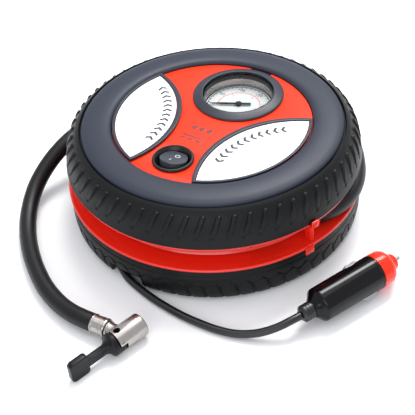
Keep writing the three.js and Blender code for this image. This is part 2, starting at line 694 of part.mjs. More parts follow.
/** A bowed spring strip that stands proud of the plug's side. */
function plugContact(side) {
  const strip = new THREE.Shape();
  strip.moveTo(CONTACT_ALONG - 5.8, 5);
  strip.lineTo(CONTACT_ALONG + 5.8, 5);
  strip.lineTo(CONTACT_ALONG + 5.8, 8);
  strip.lineTo(CONTACT_ALONG + 2.2, 10.6);
  strip.lineTo(CONTACT_ALONG - 2.2, 10.6);
  strip.lineTo(CONTACT_ALONG - 5.8, 8);
  strip.closePath();
  const contact = new THREE.ExtrudeGeometry(strip, { depth: 2.8, bevelEnabled: false });
  contact.translate(0, 0, -1.4);
  contact.rotateX(degrees(side > 0 ? CONTACT_ROLL : CONTACT_ROLL + 180));
  return turned(contact, PLUG_HEADING, PLUG_X, PLUG_Y, PLUG_Z);
}

function plugNoseRing() {
  const profile = [
    [2.2, 48.6], [PLUG_R, 48.6], [PLUG_R, 54.2], [8.5, 56.6], [5.2, 57.6], [4.8, 58], [4.5, 61.4], [3.9, 62],
    [2.2, 62],
  ];
  return placePlug(revolve(profile, 32));
}

function plugTipPin() {
  const profile = [[0, 44.4], [2.9, 44.4], [2.9, 48], [1.7, 48], [1.7, 65.4], [1, 66.3], [0, 66.3]];
  return placePlug(revolve(profile, 16, false));
}

add('plug_boot', placePlug(revolve([[0, 0], [3.5, 0], [4.4, 1], [4.6, 6.6], [0, 6.6]], 20, false)), RUBBER);
add('plug_body', plugBody(), GLOSS_BLACK);
add('plug_nose_ring', plugNoseRing(), RED);
add('plug_tip_pin', plugTipPin(), STEEL);
add('plug_contact_left', plugContact(1), STEEL);
add('plug_contact_right', plugContact(-1), STEEL);

export default inflator;
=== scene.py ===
from math import atan2, cos, degrees, exp, hypot, pi, radians, sin, sqrt

import bmesh
import bpy
from mathutils import Euler, Matrix, Vector


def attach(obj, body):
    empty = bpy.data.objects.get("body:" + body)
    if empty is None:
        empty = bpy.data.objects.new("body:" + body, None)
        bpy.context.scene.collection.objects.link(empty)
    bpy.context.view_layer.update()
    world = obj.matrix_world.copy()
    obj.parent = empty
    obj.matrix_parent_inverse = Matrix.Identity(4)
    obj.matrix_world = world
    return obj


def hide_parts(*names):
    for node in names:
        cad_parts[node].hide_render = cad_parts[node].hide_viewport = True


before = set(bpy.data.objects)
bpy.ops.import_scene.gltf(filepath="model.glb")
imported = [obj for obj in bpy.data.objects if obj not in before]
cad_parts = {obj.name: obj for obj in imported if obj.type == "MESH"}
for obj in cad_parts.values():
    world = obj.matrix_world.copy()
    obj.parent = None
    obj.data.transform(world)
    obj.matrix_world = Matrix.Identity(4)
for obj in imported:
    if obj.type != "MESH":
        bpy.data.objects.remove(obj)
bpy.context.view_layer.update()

# The inflator lies flat like a small car tyre. Lengths are millimetres until a mesh is
# made, and +Y runs from the switch towards the pressure gauge.
MM = 0.001

# ------------------------------------------------ driving dimensions
TYRE_R = 82.6
CREASE_R = 72.5
UPPER_LOW_Z = 37.0
TREAD_SLOTS = 62
SLOT_SLANT = 0.42
ZIGZAGS = 60
NOTCH_ANGLE = -95.0
GATE_ANGLE = -20.2

FACE_R = 55.4
FACE_Z = 56.4
GAP = 0.3
GAUGE = (1.0, 27.4)
SWITCH = (0.0, -39.2)
DIAL_Z = 49.5
DARK_WALL_Z = 54.4
SCALE_START = 205.0
SCALE_TURN = 230.0
ROCKER_PIVOT_Z = 54.6
ROCKER_TILT = -13.0
ROCKER_CROWN_Z = 2.5
ROCKER_CROWN_RISE = 0.5
ROCKER_HALF = 7.0
BOSS_ANGLES = (50, 130, 230, 310)
BOSS_R = 63.5
FOOT_R = 38.0
INLAY_ARC = (68.4, -27.2)

HOSE_D = 9.7
HOSE_Z = 29.1
PORT_R = 73.4
PORT_ANGLE = -12.3
PORT_HEADING = 54.0
CORD_D = 4.2
COIL_LANES = ((56.4, 8.9), (56.4, 4.6), (60.7, 4.6), (60.7, 8.9), (65.0, 8.9), (65.0, 4.6), (69.3, 4.6))

CHUCK = (17.1, -117.4, 6.4)
CHUCK_HEADING = 74.0
NECK_TURN = 108.0
LEVER_PIVOT = -4.5
SIGHT_HOLE = (-3.4, 0.7)
SIGHT_HOLE_R = 1.8
PLUG = (89.0, -66.1, 9.7)
PLUG_HEADING = 66.2
PLUG_R = 9.4
CONTACT_ALONG = 38.5
CONTACT_ROLL = 33.0
STRIP_HALF = 5.8
WINDOW_HALF = 6.5


# ------------------------------------------------ small geometry helpers
# Turns a piece so that its own Z points along X.
LYING = Matrix(((0, 0, 1, 0), (1, 0, 0, 0), (0, 1, 0, 0), (0, 0, 0, 1)))
# Turns a plate drawn in X and Y so that its Y points up.
UPRIGHT = Matrix(((1, 0, 0, 0), (0, 0, -1, 0), (0, 1, 0, 0), (0, 0, 0, 1)))


def polar(radius, angle, height=0.0):
    return (radius * cos(radians(angle)), radius * sin(radians(angle)), height)


def placed(origin=(0, 0, 0), heading=0.0, lying=False):
    """Where a piece goes. A lying piece has its own Z along the heading."""
    matrix = Matrix.Translation(origin) @ Matrix.Rotation(radians(heading), 4, "Z")
    if lying:
        matrix = matrix @ LYING
    return matrix


def spline(points, step=1.0):
    """Points along a smooth curve through the given ones, about a step apart."""
    known = [Vector(point) for point in points]
    line = []
    for i in range(len(known) - 1):
        start, end = known[i], known[i + 1]
        before = known[i - 1] if i else 2 * start - end
        after = known[i + 2] if i + 2 < len(known) else 2 * end - start
        spans = [sqrt((b - a).length) for a, b in ((before, start), (start, end), (end, after))]
        leave = (start - before) / spans[0] - (end - before) / (spans[0] + spans[1])
        arrive = (end - start) / spans[1] - (after - start) / (spans[1] + spans[2])
        leave = (leave + (end - start) / spans[1]) * spans[1]
        arrive = (arrive + (after - end) / spans[2]) * spans[1]
        count = max(1, round((end - start).length / step))
        for k in range(count):
            t = k / count
            line.append(
                (2 * t**3 - 3 * t**2 + 1) * start + (t**3 - 2 * t**2 + t) * leave
                + (3 * t**2 - 2 * t**3) * end + (t**3 - t**2) * arrive
            )
    line.append(known[-1])
    return [tuple(point) for point in line]


def rounded(profile, radius):
    """The closed outline with every corner turned into a short arc."""
    points = []
    count = len(profile)
    steps = 3
    for i, corner in enumerate(profile):
        here = Vector(corner)
        back = Vector(profile[i - 1]) - here
        on = Vector(profile[(i + 1) % count]) - here
        start = here + back.normalized() * min(radius, back.length * 0.45)
        end = here + on.normalized() * min(radius, on.length * 0.45)
        for k in range(steps + 1):
            t = k / steps
            points.append(tuple((1 - t) ** 2 * start + 2 * t * (1 - t) * here + t * t * end))
    return points


def lathe(profile, segments=96, ring=True, relief=None, shear=None):
    """Points and faces of [radius, height] turned about Z. relief(angle, radius, height)
    pushes the surface out along its normal, and shear(height) turns it about Z."""
    count = len(profile)
    normals = []
    for i in range(count):
        back = profile[i - 1] if ring or i else profile[i]
        on = profile[(i + 1) % count] if ring or i + 1 < count else profile[i]
        along = Vector((on[0] - back[0], on[1] - back[1])).normalized()
        normals.append((along.y, -along.x))
    points, rows = [], []
    for (radius, height), (out, up) in zip(profile, normals):
        if radius < 1e-6:
            rows.append([len(points)] * segments)
            points.append((0.0, 0.0, height))
            continue
        rows.append(list(range(len(points), len(points) + segments)))
        turn = shear(height) if shear else 0.0
        for k in range(segments):
            angle = 360.0 * k / segments + turn
            push = relief(angle, radius, height) if relief else 0.0
            points.append(polar(radius + push * out, angle, height + push * up))
    pairs = list(zip(rows, rows[1:])) + ([(rows[-1], rows[0])] if ring else [])
    faces = []
    for low, high in pairs:
        for k in range(segments):
            j = (k + 1) % segments
            face = list(dict.fromkeys((low[k], low[j], high[j], high[k])))
            if len(face) > 2:
                faces.append(face)
    return points, faces


def finish_mesh(mesh, sharp):
    """Closes, turns the faces outwards and shades smooth between sharp edges."""
    work = bmesh.new()
    work.from_mesh(mesh)
    bmesh.ops.remove_doubles(work, verts=work.verts, dist=1e-7)
    bmesh.ops.recalc_face_normals(work, faces=work.faces)
    work.to_mesh(mesh)
    work.free()
    mesh.shade_smooth()
    mesh.set_sharp_from_angle(angle=radians(sharp))


def add_object(name, data):
    obj = bpy.data.objects.new(name, data)
    bpy.context.scene.collection.objects.link(obj)
    return obj


def move_mesh(mesh, place):
    """Moves a mesh by a matrix whose lengths are millimetres."""
    mesh.transform(Matrix.Scale(MM, 4) @ place @ Matrix.Scale(1 / MM, 4))


def show(name, mesh, material, place=None, sharp=32):
    obj = add_object(name, mesh)
    if place:
        move_mesh(mesh, place)
    finish_mesh(mesh, sharp)
    mesh.materials.clear()
    for each in material if isinstance(material, (list, tuple)) else [material]:
        mesh.materials.append(each)
    return obj


def solid(name, shape, material, place=None, sharp=32):
    points, faces = shape
    mesh = bpy.data.meshes.new(name)
    mesh.from_pydata([tuple(value * MM for value in point) for point in points], [], faces)
    return show(name, mesh, material, place, sharp)


def box_shape(low, high):
    points = [(x, y, z) for x in (low[0], high[0]) for y in (low[1], high[1]) for z in (low[2], high[2])]
    faces = [(0, 1, 3, 2), (4, 6, 7, 5), (0, 4, 5, 1), (2, 3, 7, 6), (0, 2, 6, 4), (1, 5, 7, 3)]
    return points, faces


def baked(obj):
    """Turns the object's modifiers into its mesh."""
    graph = bpy.context.evaluated_depsgraph_get()
    mesh = bpy.data.meshes.new_from_object(obj.evaluated_get(graph))
    old = obj.data
    obj.modifiers.clear()
    obj.data = mesh
    bpy.data.meshes.remove(old)
    return mesh


def carve(obj, how, others):
    """Joins, cuts or keeps the object with each of the other objects, which then go."""
    for other in others:
        step = obj.modifiers.new("carve", "BOOLEAN")
        step.operation = how
        step.object = other
        step.solver = "EXACT"
        baked(obj)
        bpy.data.objects.remove(other)


def soften(obj, width, angle=35):
    """Rounds the sharp edges."""
    step = obj.modifiers.new("soften", "BEVEL")
    step.width = width * MM
    step.segments = 2
    step.limit_method = "ANGLE"
    step.angle_limit = radians(angle)
    step.use_clamp_overlap = True
    finish_mesh(baked(obj), 32)


def curve_mesh(name, curve):
    """The mesh of a curve or of words."""
    holder = add_object(name, curve)
    graph = bpy.context.evaluated_depsgraph_get()
    mesh = bpy.data.meshes.new_from_object(holder.evaluated_get(graph))
    bpy.data.objects.remove(holder)
    return mesh


def plate(name, outlines, low, high, edge, material, place=None):
    """A flat plate with rounded edges from closed outlines. Inner outlines are holes."""
    curve = bpy.data.curves.new(name, "CURVE")
    curve.dimensions = "2D"
    curve.fill_mode = "BOTH"
    for outline in outlines:
        line = curve.splines.new("POLY")
        line.points.add(len(outline) - 1)
        for point, (x, y) in zip(line.points, outline):
            point.co = (x * MM, y * MM, 0, 1)
        line.use_cyclic_u = True
    curve.extrude = ((high - low) / 2 - edge) * MM
    curve.bevel_depth = edge * MM
    curve.bevel_resolution = 2
    curve.offset = -edge * MM
    mesh = curve_mesh(name, curve)
    mesh.transform(Matrix.Translation((0, 0, (low + high) / 2 * MM)))
    return show(name, mesh, material, place)


def circle(radius, centre=(0, 0), start=0.0, end=360.0, step=2.0):
    count = max(2, round(abs(end - start) / step))
    whole = abs(end - start) >= 360
    return [
        (centre[0] + radius * cos(a), centre[1] + radius * sin(a))
        for a in (radians(start + (end - start) * k / count) for k in range(count if whole else count + 1))
    ]


def lens(side, outer_r, arc_x, arc_y, arc_r):
    """The outline shared by the face disc and a circle to one side of it."""
    centre_x = side * arc_x
    apart = hypot(arc_x, arc_y)
    middle = atan2(arc_y, centre_x)
    reach = (apart**2 + outer_r**2 - arc_r**2) / (2 * apart * outer_r)
    half = atan2(sqrt(1 - reach**2), reach)
    rim = circle(outer_r, (0, 0), degrees(middle - half), degrees(middle + half))
    back = (apart**2 + arc_r**2 - outer_r**2) / (2 * apart * arc_r)
    turn = atan2(sqrt(1 - back**2), back)
    centre = degrees(middle + pi)
    arc = circle(arc_r, (centre_x, arc_y), centre - degrees(turn), centre + degrees(turn))
    return rim + arc[1:-1]


def merge(name, objects, material):
    """One object from several that don't touch."""
    work = bmesh.new()
    for obj in objects:
        work.from_mesh(obj.data)
    mesh = bpy.data.meshes.new(name)
    work.to_mesh(mesh)
    work.free()
    for obj in objects:
        bpy.data.objects.remove(obj)
    return show(name, mesh, material)


def own(obj, body, slot, *nodes):
    """The piece rides a body and stands for CAD nodes. The slot is not used."""
    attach(obj, body)
    if nodes:
        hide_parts(*nodes)
    return obj


# ------------------------------------------------ materials
def screen(red, green, blue):
    """A colour as it looks on a screen, 0 to 255, as a shader takes it."""
    values = [value / 255 for value in (red, green, blue)]
    return tuple(v / 12.92 if v < 0.04 else ((v + 0.055) / 1.055) ** 2.4 for v in values) + (1.0,)


def surface(name, colour, rough, metal=0.0, coat=0.0, grain=0.0, grain_size=0.5, mottle=0.1,
            mottle_size=12.0, rough_spread=0.06, stretch=(1, 1, 1), specular=0.5):
    """A moulded, rubber or metal finish: fine grain in the normal, slow changes of colour
    and of roughness. Sizes are millimetres and grain is its depth."""
    material = bpy.data.materials.new(name)
    material.use_nodes = True
    nodes, links = material.node_tree.nodes, material.node_tree.links
    shader = nodes["Principled BSDF"]
    shader.inputs["Metallic"].default_value = metal
    shader.inputs["Coat Weight"].default_value = coat
    shader.inputs["Coat Roughness"].default_value = 0.08
    shader.inputs["Specular IOR Level"].default_value = specular
    where = nodes.new("ShaderNodeTexCoord")
    spread = nodes.new("ShaderNodeMapping")
    spread.inputs["Scale"].default_value = stretch
    links.new(where.outputs["Object"], spread.inputs["Vector"])

    slow = nodes.new("ShaderNodeTexNoise")
    slow.inputs["Scale"].default_value = 1 / (mottle_size * MM)
    slow.inputs["Detail"].default_value = 4
    links.new(spread.outputs["Vector"], slow.inputs["Vector"])
    tint = nodes.new("ShaderNodeMix")
    tint.data_type = "RGBA"
    tint.inputs["A"].default_value = tuple(c * (1 - mottle) for c in colour[:3]) + (1,)
    tint.inputs["B"].default_value = tuple(min(1, c * (1 + mottle)) for c in colour[:3]) + (1,)
    links.new(slow.outputs["Fac"], tint.inputs["Factor"])
    links.new(tint.outputs["Result"], shader.inputs["Base Color"])

    fine = nodes.new("ShaderNodeTexNoise")
    fine.inputs["Scale"].default_value = 1 / (grain_size * MM)
    fine.inputs["Detail"].default_value = 3
    links.new(spread.outputs["Vector"], fine.inputs["Vector"])
    gloss = nodes.new("ShaderNodeMapRange")
    gloss.inputs["To Min"].default_value = max(0.02, rough - rough_spread)
    gloss.inputs["To Max"].default_value = min(1, rough + rough_spread)
    links.new(slow.outputs["Fac"], gloss.inputs["Value"])
    links.new(gloss.outputs["Result"], shader.inputs["Roughness"])
    if grain:
        bump = nodes.new("ShaderNodeBump")
        bump.inputs["Strength"].default_value = 1.0
        bump.inputs["Distance"].default_value = grain * MM
        links.new(fine.outputs["Fac"], bump.inputs["Height"])
        links.new(bump.outputs["Normal"], shader.inputs["Normal"])
    return material


def clear_surface(name):
    """Clear plastic: see-through, with its shine left on."""
    material = bpy.data.materials.new(name)
    material.use_nodes = True
    nodes, links = material.node_tree.nodes, material.node_tree.links
    nodes.remove(nodes["Principled BSDF"])
    output = nodes["Material Output"]
    through = nodes.new("ShaderNodeBsdfTransparent")
    through.inputs["Color"].default_value = (0.97, 0.985, 0.99, 1)
    shine = nodes.new("ShaderNodeBsdfGlossy")
    shine.inputs["Color"].default_value = (1, 1, 1, 1)
    shine.inputs["Roughness"].default_value = 0.03
    rim = nodes.new("ShaderNodeLayerWeight")
    rim.inputs["Blend"].default_value = 0.5
    steep = nodes.new("ShaderNodeMath")
    steep.operation = "POWER"
    steep.inputs[1].default_value = 5.0
    share = nodes.new("ShaderNodeMath")
    share.operation = "MULTIPLY_ADD"
    share.inputs[1].default_value = 0.5
    share.inputs[2].default_value = 0.005
    blend = nodes.new("ShaderNodeMixShader")
    links.new(rim.outputs["Facing"], steep.inputs[0])
    links.new(steep.outputs["Value"], share.inputs[0])
    links.new(share.outputs["Value"], blend.inputs["Fac"])
    links.new(through.outputs["BSDF"], blend.inputs[1])
    links.new(shine.outputs["BSDF"], blend.inputs[2])
    links.new(blend.outputs["Shader"], output.inputs["Surface"])
    return material


# The ring and the tread wall are one black moulding; the ring's lighter, bluer base than the tread is
# painted sheen from the overhead light on its top.
RING_PAINTED_SHEEN = surface("ring_painted_sheen", screen(40, 45, 57), 0.46, grain=0.012, mottle=0.05, specular=0.25)
TREAD = surface(
    "tread_rubber", screen(13, 14, 15), 0.45, grain=0.03, grain_size=0.35, mottle=0.14, rough_spread=0.1,
    specular=0.2)
FRAME_GREY = surface(
    "frame_satin", screen(38, 42, 51), 0.36, grain=0.01, grain_size=0.4, mottle=0.05, specular=0.35)
CHANNEL_RED = surface(
    "channel_gloss_red", screen(226, 38, 20), 0.25, coat=0.25, grain=0.004, grain_size=2.5, mottle=0.05)
PANEL_RED = surface("panel_red", screen(234, 46, 8), 0.4, grain=0.008, mottle=0.03, mottle_size=30,
                    specular=0.2)
NOSE_RED = surface(
    "nose_red", screen(232, 40, 4), 0.2, grain=0.004, grain_size=1.5, mottle=0.04, specular=0.35)
INLAY_WHITE = surface("inlay_white", screen(244, 245, 247), 0.4, grain=0.004, grain_size=0.6, mottle=0.015)
DIAL_WHITE = surface(
    "dial_card", screen(200, 200, 197), 0.7, grain=0.003, grain_size=0.3, mottle=0.01, specular=0.1)
PRINT_GREY = surface("print_grey", screen(46, 48, 54), 0.5, grain=0.004)
# Black print for the dial and the needle; also the painted shade inside the chuck's sight hole.
BLACK_PRINT_AND_SHADE = surface("print_black_and_painted_shade", screen(16, 17, 20), 0.6, grain=0.002, specular=0.2)
PRINT_RED = surface("print_red", screen(214, 40, 34), 0.5, grain=0.002)
MARK_WHITE = surface("mark_white", screen(190, 193, 198), 0.45, grain=0.002, mottle=0.05)
PANEL_MARK = surface("panel_mark", screen(112, 14, 10), 0.4, grain=0.002, mottle=0.15)
GLOSS_BLACK = surface("gloss_black", screen(6, 6, 8), 0.14, grain=0.003, grain_size=2.0, specular=0.25)
ROCKER_BLACK = surface("rocker_satin", screen(52, 55, 62), 0.35, grain=0.006, mottle=0.08, specular=0.4)
COLLAR_BLACK = surface("collar_satin", screen(10, 11, 13), 0.34, grain=0.004, grain_size=0.6, specular=0.4)
SATIN_BLACK = surface("satin_black", screen(22, 23, 27), 0.32, grain=0.008)
LEVER_BLACK = surface(
    "lever_black", screen(8, 8, 12), 0.34, grain=0.012, grain_size=0.6, mottle=0.12, specular=0.25)
HOSE_BLACK = surface("hose_rubber", screen(9, 9, 11), 0.42, grain=0.05, mottle=0.2, mottle_size=5,
                     specular=0.3)
CORD_BLACK = surface("cord_vinyl", screen(17, 18, 21), 0.3, grain=0.01, mottle=0.12, mottle_size=6)
RUBBER = surface("soft_rubber", screen(30, 31, 33), 0.7, grain=0.03, grain_size=0.3, mottle=0.12)
CHROME = surface(
    "chrome", screen(172, 167, 163), 0.27, metal=1.0, grain=0.0, mottle=0.03, rough_spread=0.03,
    grain_size=0.4)
STEEL = surface(
    "plated_steel", screen(170, 173, 178), 0.32, metal=1.0, grain=0.004, grain_size=0.3, mottle=0.08,
    stretch=(1, 1, 6))
ALUMINIUM = surface("cast_aluminium", screen(176, 179, 183), 0.48, metal=1.0, grain=0.04)
BRASS = surface("brass", screen(205, 164, 84), 0.3, metal=1.0, grain=0.004, grain_size=0.4)
NYLON = surface("nylon", screen(228, 223, 208), 0.5, grain=0.008, mottle=0.05)
CLEAR = clear_surface("lens_clear")


# ------------------------------------------------ camera
def make_camera():
    data = bpy.data.cameras.new("camera")
    camera = add_object("camera", data)
    data.sensor_width = 36
    data.lens = 78.07
    data.clip_start = 0.01
    camera.location = (0.21846, -0.33639, 0.34871)
    turn = Euler((radians(90 - 41.607), 0, radians(33.8))).to_matrix().to_4x4()
    camera.matrix_world = (
        Matrix.Translation(camera.location) @ turn @ Matrix.Rotation(radians(-3.83), 4, "Z")
    )
    bpy.context.scene.camera = camera


make_camera()


# ------------------------------------------------ hose and power cord
def port_point(distance):
    end = polar(PORT_R, PORT_ANGLE, HOSE_Z)
    ahead = polar(distance, PORT_HEADING)
    return (end[0] + ahead[0], end[1] + ahead[1], HOSE_Z)


def neck_point(distance):
    ahead = polar(distance, CHUCK_HEADING + NECK_TURN)
    return (CHUCK[0] + ahead[0], CHUCK[1] + ahead[1], CHUCK[2])


def plug_point(distance):
    ahead = polar(distance, PLUG_HEADING)
    return (PLUG[0] + ahead[0], PLUG[1] + ahead[1], PLUG[2])


def hose_route():
    """Out of the port, round the back in the channel, then down to the floor and the chuck."""
    channel = (
        (78.4, -2.4), (80.3, 4.2), (81, 13), (80.4, 24), (79.7, 38), (79.6, 56), (79.6, 75), (79.6, 94),
        (79.6, 113), (79.6, 132), (79.8, 150), (80.6, 165),
    )
    route = [port_point(0.4), port_point(5)]
    route += [polar(radius, angle, HOSE_Z) for radius, angle in channel]
    route += [
        polar(82.8, 177, 28.8), (-86.3, -10.5, 27.4), (-89.8, -24.5, 24), (-92.1, -37.5, 18.6),
        (-91.6, -51.5, 12.4), (-85.8, -66.6, 7.6), (-74.8, -81.9, 5.2), (-59.6, -96.2, 4.95),
        (-43, -107.8, 4.95), (-33.8, -112.4, 5), (-24.4, -115.8, 5.3), (-15, -117.8, 5.9)]
    return route + [neck_point(24.4), neck_point(18.8)]


def winding():
    """The cord's turns round the hub. Each lane runs just short of a turn, then steps to
    the next one ahead of where it began, so that no two steps meet."""
    first, last = 28.0, 2392.3
    step, turn = 25.0, 335.0
    points = [(49.9, 10.4, 8.9), (50.0, 15.5, 8.9), (50.0, 20.8, 8.9)]
    angle = first + 2
    while angle < last:
        lane = int((angle - first) // turn)
        lane = min(lane, len(COIL_LANES) - 1)
        radius, height = COIL_LANES[lane]
        into = angle - (first + turn * lane)
        if lane and into < step:
            share = into / step
            share = share * share * (3 - 2 * share)
            before = COIL_LANES[lane - 1]
            radius = before[0] + (radius - before[0]) * share
            height = before[1] + (height - before[1]) * share
        points.append(polar(radius, angle, height))
        angle += 12.5
    return points


def cord_route():
    """The turns under the base, out through the notch and along the floor to the plug."""
    free = [
        (-21, -71.3, 4.2), (-14.4, -76.2, 3), (-7.4, -80.5, 2.3), (2.6, -84, 2.2), (12.7, -86.6, 2.2),
        (23.3, -88.4, 2.2), (33.4, -89.4, 2.2), (43.6, -89.5, 2.2), (54, -88.8, 2.2), (63.6, -86.9, 2.7),
        (71.8, -83.6, 4.1), (77.6, -80.0, 5.8), (82.4, -75.7, 7.6), (86.0, -71.2, 9.1),
    ]
    return winding() + [(-35.6, -60.05, 4.55)] + free + [plug_point(-0.4)]


def route_length(points):
    line = spline(points, 0.5)
    return sum((Vector(b) - Vector(a)).length for a, b in zip(line, line[1:]))


def cord_curve(name, points, diameter, material):
    curve = bpy.data.curves.new(name, "CURVE")
    curve.dimensions = "3D"
    curve.bevel_depth = diameter / 2 * MM
    curve.bevel_resolution = 6
    curve.use_fill_caps = True
    line = curve.splines.new("POLY")
    dense = spline(points, 2.2)
    line.points.add(len(dense) - 1)
    for point, place in zip(line.points, dense):
        point.co = tuple(value * MM for value in place) + (1,)
    line.use_smooth = True
    obj = add_object(name, curve)
    curve.materials.append(material)
    return obj


HOSE = own(cord_curve("hose_rubber_line", hose_route(), HOSE_D, HOSE_BLACK), "case", "rubber_black", "hose")
CORD = own(
    cord_curve("power_cord_line", cord_route(), CORD_D, CORD_BLACK), "case", "cord_black", "power_cord",
    "cord_coil")


# ------------------------------------------------ tyre shells
def stadium(across, along, half_width, half_length):
    """Distance in or out of a slot with round ends. It is negative inside."""
    beyond = max(0.0, abs(along) - (half_length - half_width))
    return hypot(across, beyond) - half_width


def smooth_step(value, low, high):
    share = min(1.0, max(0.0, (value - low) / (high - low)))
    return share * share * (3 - 2 * share)


def wall_line():
    """The tread wall's section, from the crease down to its lower edge."""
    return spline([(73.4, 57.1), (75.3, 55.9), (78.1, 52.5), (80.4, 48), (81.9, 43), (TYRE_R, 38.4)], 0.4)


def wall_run(height):
    """How far down the wall from the crease a height lies, along the surface."""
    run = 0.0
    line = wall_line()
    for (r1, z1), (r2, z2) in zip(line, line[1:]):
        if height >= z2:
            share = (z1 - min(height, z1)) / max(z1 - z2, 1e-6)
            return run + share * hypot(r2 - r1, z2 - z1)
        run += hypot(r2 - r1, z2 - z1)
    return run


WALL_RUN = {}


def run_at(height):
    key = round(height, 3)
    if key not in WALL_RUN:
        WALL_RUN[key] = wall_run(height)
    return WALL_RUN[key]


def tread_shear(height):
    return (height - 49.0) * SLOT_SLANT / TYRE_R * 180 / pi


def tread_relief(angle, radius, height):
    """Slanted slots with round ends in the tread wall, and a small stud at each one's foot."""
    if radius < CREASE_R + 0.9 or height < UPPER_LOW_Z + 0.5:
        return 0.0
    pitch = 360.0 / TREAD_SLOTS
    local = angle - tread_shear(height)
    across = ((local + pitch / 2) % pitch - pitch / 2) * pi / 180 * radius
    run = run_at(height)
    slot = stadium(across, run - 9.8, 1.45, 5.6)
    depth = -0.95 * (1 - smooth_step(slot, -0.5, 0.1)) * (1 - 0.5 * smooth_step(run, 8, 14))
    lip = 0.12 * exp(-((slot - 0.4) / 0.32) ** 2)
    stud = hypot(across * 0.8, run - 16.4)
    return depth + lip + 0.55 * (1 - smooth_step(stud, 0.3, 1.0))


def upper_tyre():
    """The ring round the face, its crease, and the tread wall."""
    crest = spline(
        [(FACE_R, 57.2), (56.2, 58.1), (58.4, 58.9), (62.6, 59.2), (68.4, 58.6), (71.5, 57.5)], 1.2)
    crease = [(71.95, 57.0), (72.2, 56.2), (72.35, 55.4), (72.7, 55.4), (72.9, 56.2), (73.1, 56.8)]
    edge = [(82.55, 37.7), (82.2, 37.15), (81.7, 37.0), (80.8, 37.0)]
    inside = [
        (79.4, 41), (78, 46), (75.8, 50.2), (72.0, 53.4), (68.4, 56), (62.6, 56.6), (57, 55.4),
        (56.4, 50.6), (52, 50.6), (51.8, 50.8), (51.8, 52.8), (52, 53), (55.2, 53), (FACE_R, 53.2)]
    profile = crest + crease + wall_line() + edge + inside
    shape = lathe(profile, TREAD_SLOTS * 16, True, tread_relief, tread_shear)
    # Faces of the top ring take the painted-sheen grey; the tread wall below takes the plain tread black.
    obj = solid("upper_tyre", shape, [RING_PAINTED_SHEEN, TREAD])
    for face in obj.data.polygons:
        centre = face.center / MM
        outside = hypot(centre.x, centre.y) > CREASE_R - 0.3 and centre.z < 58.0
        face.material_index = 1 if outside else 0
    post = rounded([(1.4, 37.3), (3.4, 37.3), (3.4, 56), (1.4, 56)], 0.2)
    bosses = [solid("boss", lathe(post, 32), TREAD, placed(polar(BOSS_R, angle))) for angle in BOSS_ANGLES]
    own(obj, "case", "shell_black", "upper_tyre_shell")
    own(merge("screw_bosses", bosses, SATIN_BLACK), "case", "shell_black")


def lug_relief(angle, radius, height):
    """A zigzag groove half way up the lower tyre, and slanted cuts between its lugs."""
    if radius < 80.1 or height > 20.4:
        return 0.0
    pitch = 360.0 / ZIGZAGS
    share = (angle / pitch) % 1.0
    wave = abs(share - 0.5) * 4 - 1
    line = 12.2 + 1.5 * wave
    groove = -0.6 * exp(-((height - line) / 0.55) ** 2)
    cut = 0.0
    if height < line:
        lean = (share - 0.5 + (height - 6.0) * 0.035 + 0.5) % 1.0 - 0.5
        across = lean * pitch * pi / 180 * radius
        cut = -0.8 * (1 - smooth_step(abs(across), 0.35, 0.85)) * smooth_step(line - height, 0.2, 1.2)
    band = -0.35 * exp(-((height - 17.4) / 0.4) ** 2)
    return min(groove, cut) + band


def lower_tyre():
    """The lower shell, with the notch in its foot that the cord leaves by."""
    wall = spline([(81.4, 1.9), (82.5, 5), (82.9, 10), (82.8, 16), (82.2, 20.6)], 0.4)
    profile = [(78.4, 0.9), (80, 0.9), (80.5, 1.05)] + wall + [(81.95, 21.25), (81.5, 21.6), (76.1, 21.6)]
    profile += [
        (76, 21.5), (76, 19.7), (76.1, 19.6), (79.2, 19), (79.6, 14), (79.55, 9), (79.5, 4), (78.8, 1.3)]
    points, faces = lathe(profile, ZIGZAGS * 16, True, lug_relief)
    moved = []
    for x, y, z in points:
        off = (degrees(atan2(y, x)) - NOTCH_ANGLE + 180) % 360 - 180
        across = abs(off) * pi / 180 * hypot(x, y)
        lift = 5.7 * (1 - smooth_step(across, 10.0, 11.0))
        top = 15.0
        moved.append((x, y, z + lift * (top - z) / (top - 0.9) if z < top else z))
    own(solid("lower_tyre", (moved, faces), TREAD), "case", "tread_black", "lower_tyre_shell")


# ------------------------------------------------ red hose channel
def clip_tab(name, angle, width, foot, lip):
    inner, outer = foot[0], lip[1]
    outline = [
        (inner, foot[2]), (outer, min(foot[2], lip[2])), (outer, lip[3]), (lip[0], lip[3]),
        (lip[0], foot[3]), (inner, foot[3])]
    if lip[2] < foot[2]:
        outline = [
            (inner, foot[2]), (lip[0], foot[2]), (lip[0], lip[2]), (outer, lip[2]), (outer, lip[3]),
            (inner, lip[3])]
    return plate(
        name, [rounded(outline, 0.55)], -width / 2, width / 2, 0.5, CHANNEL_RED,
        placed((0, 0, 0), angle) @ UPRIGHT)


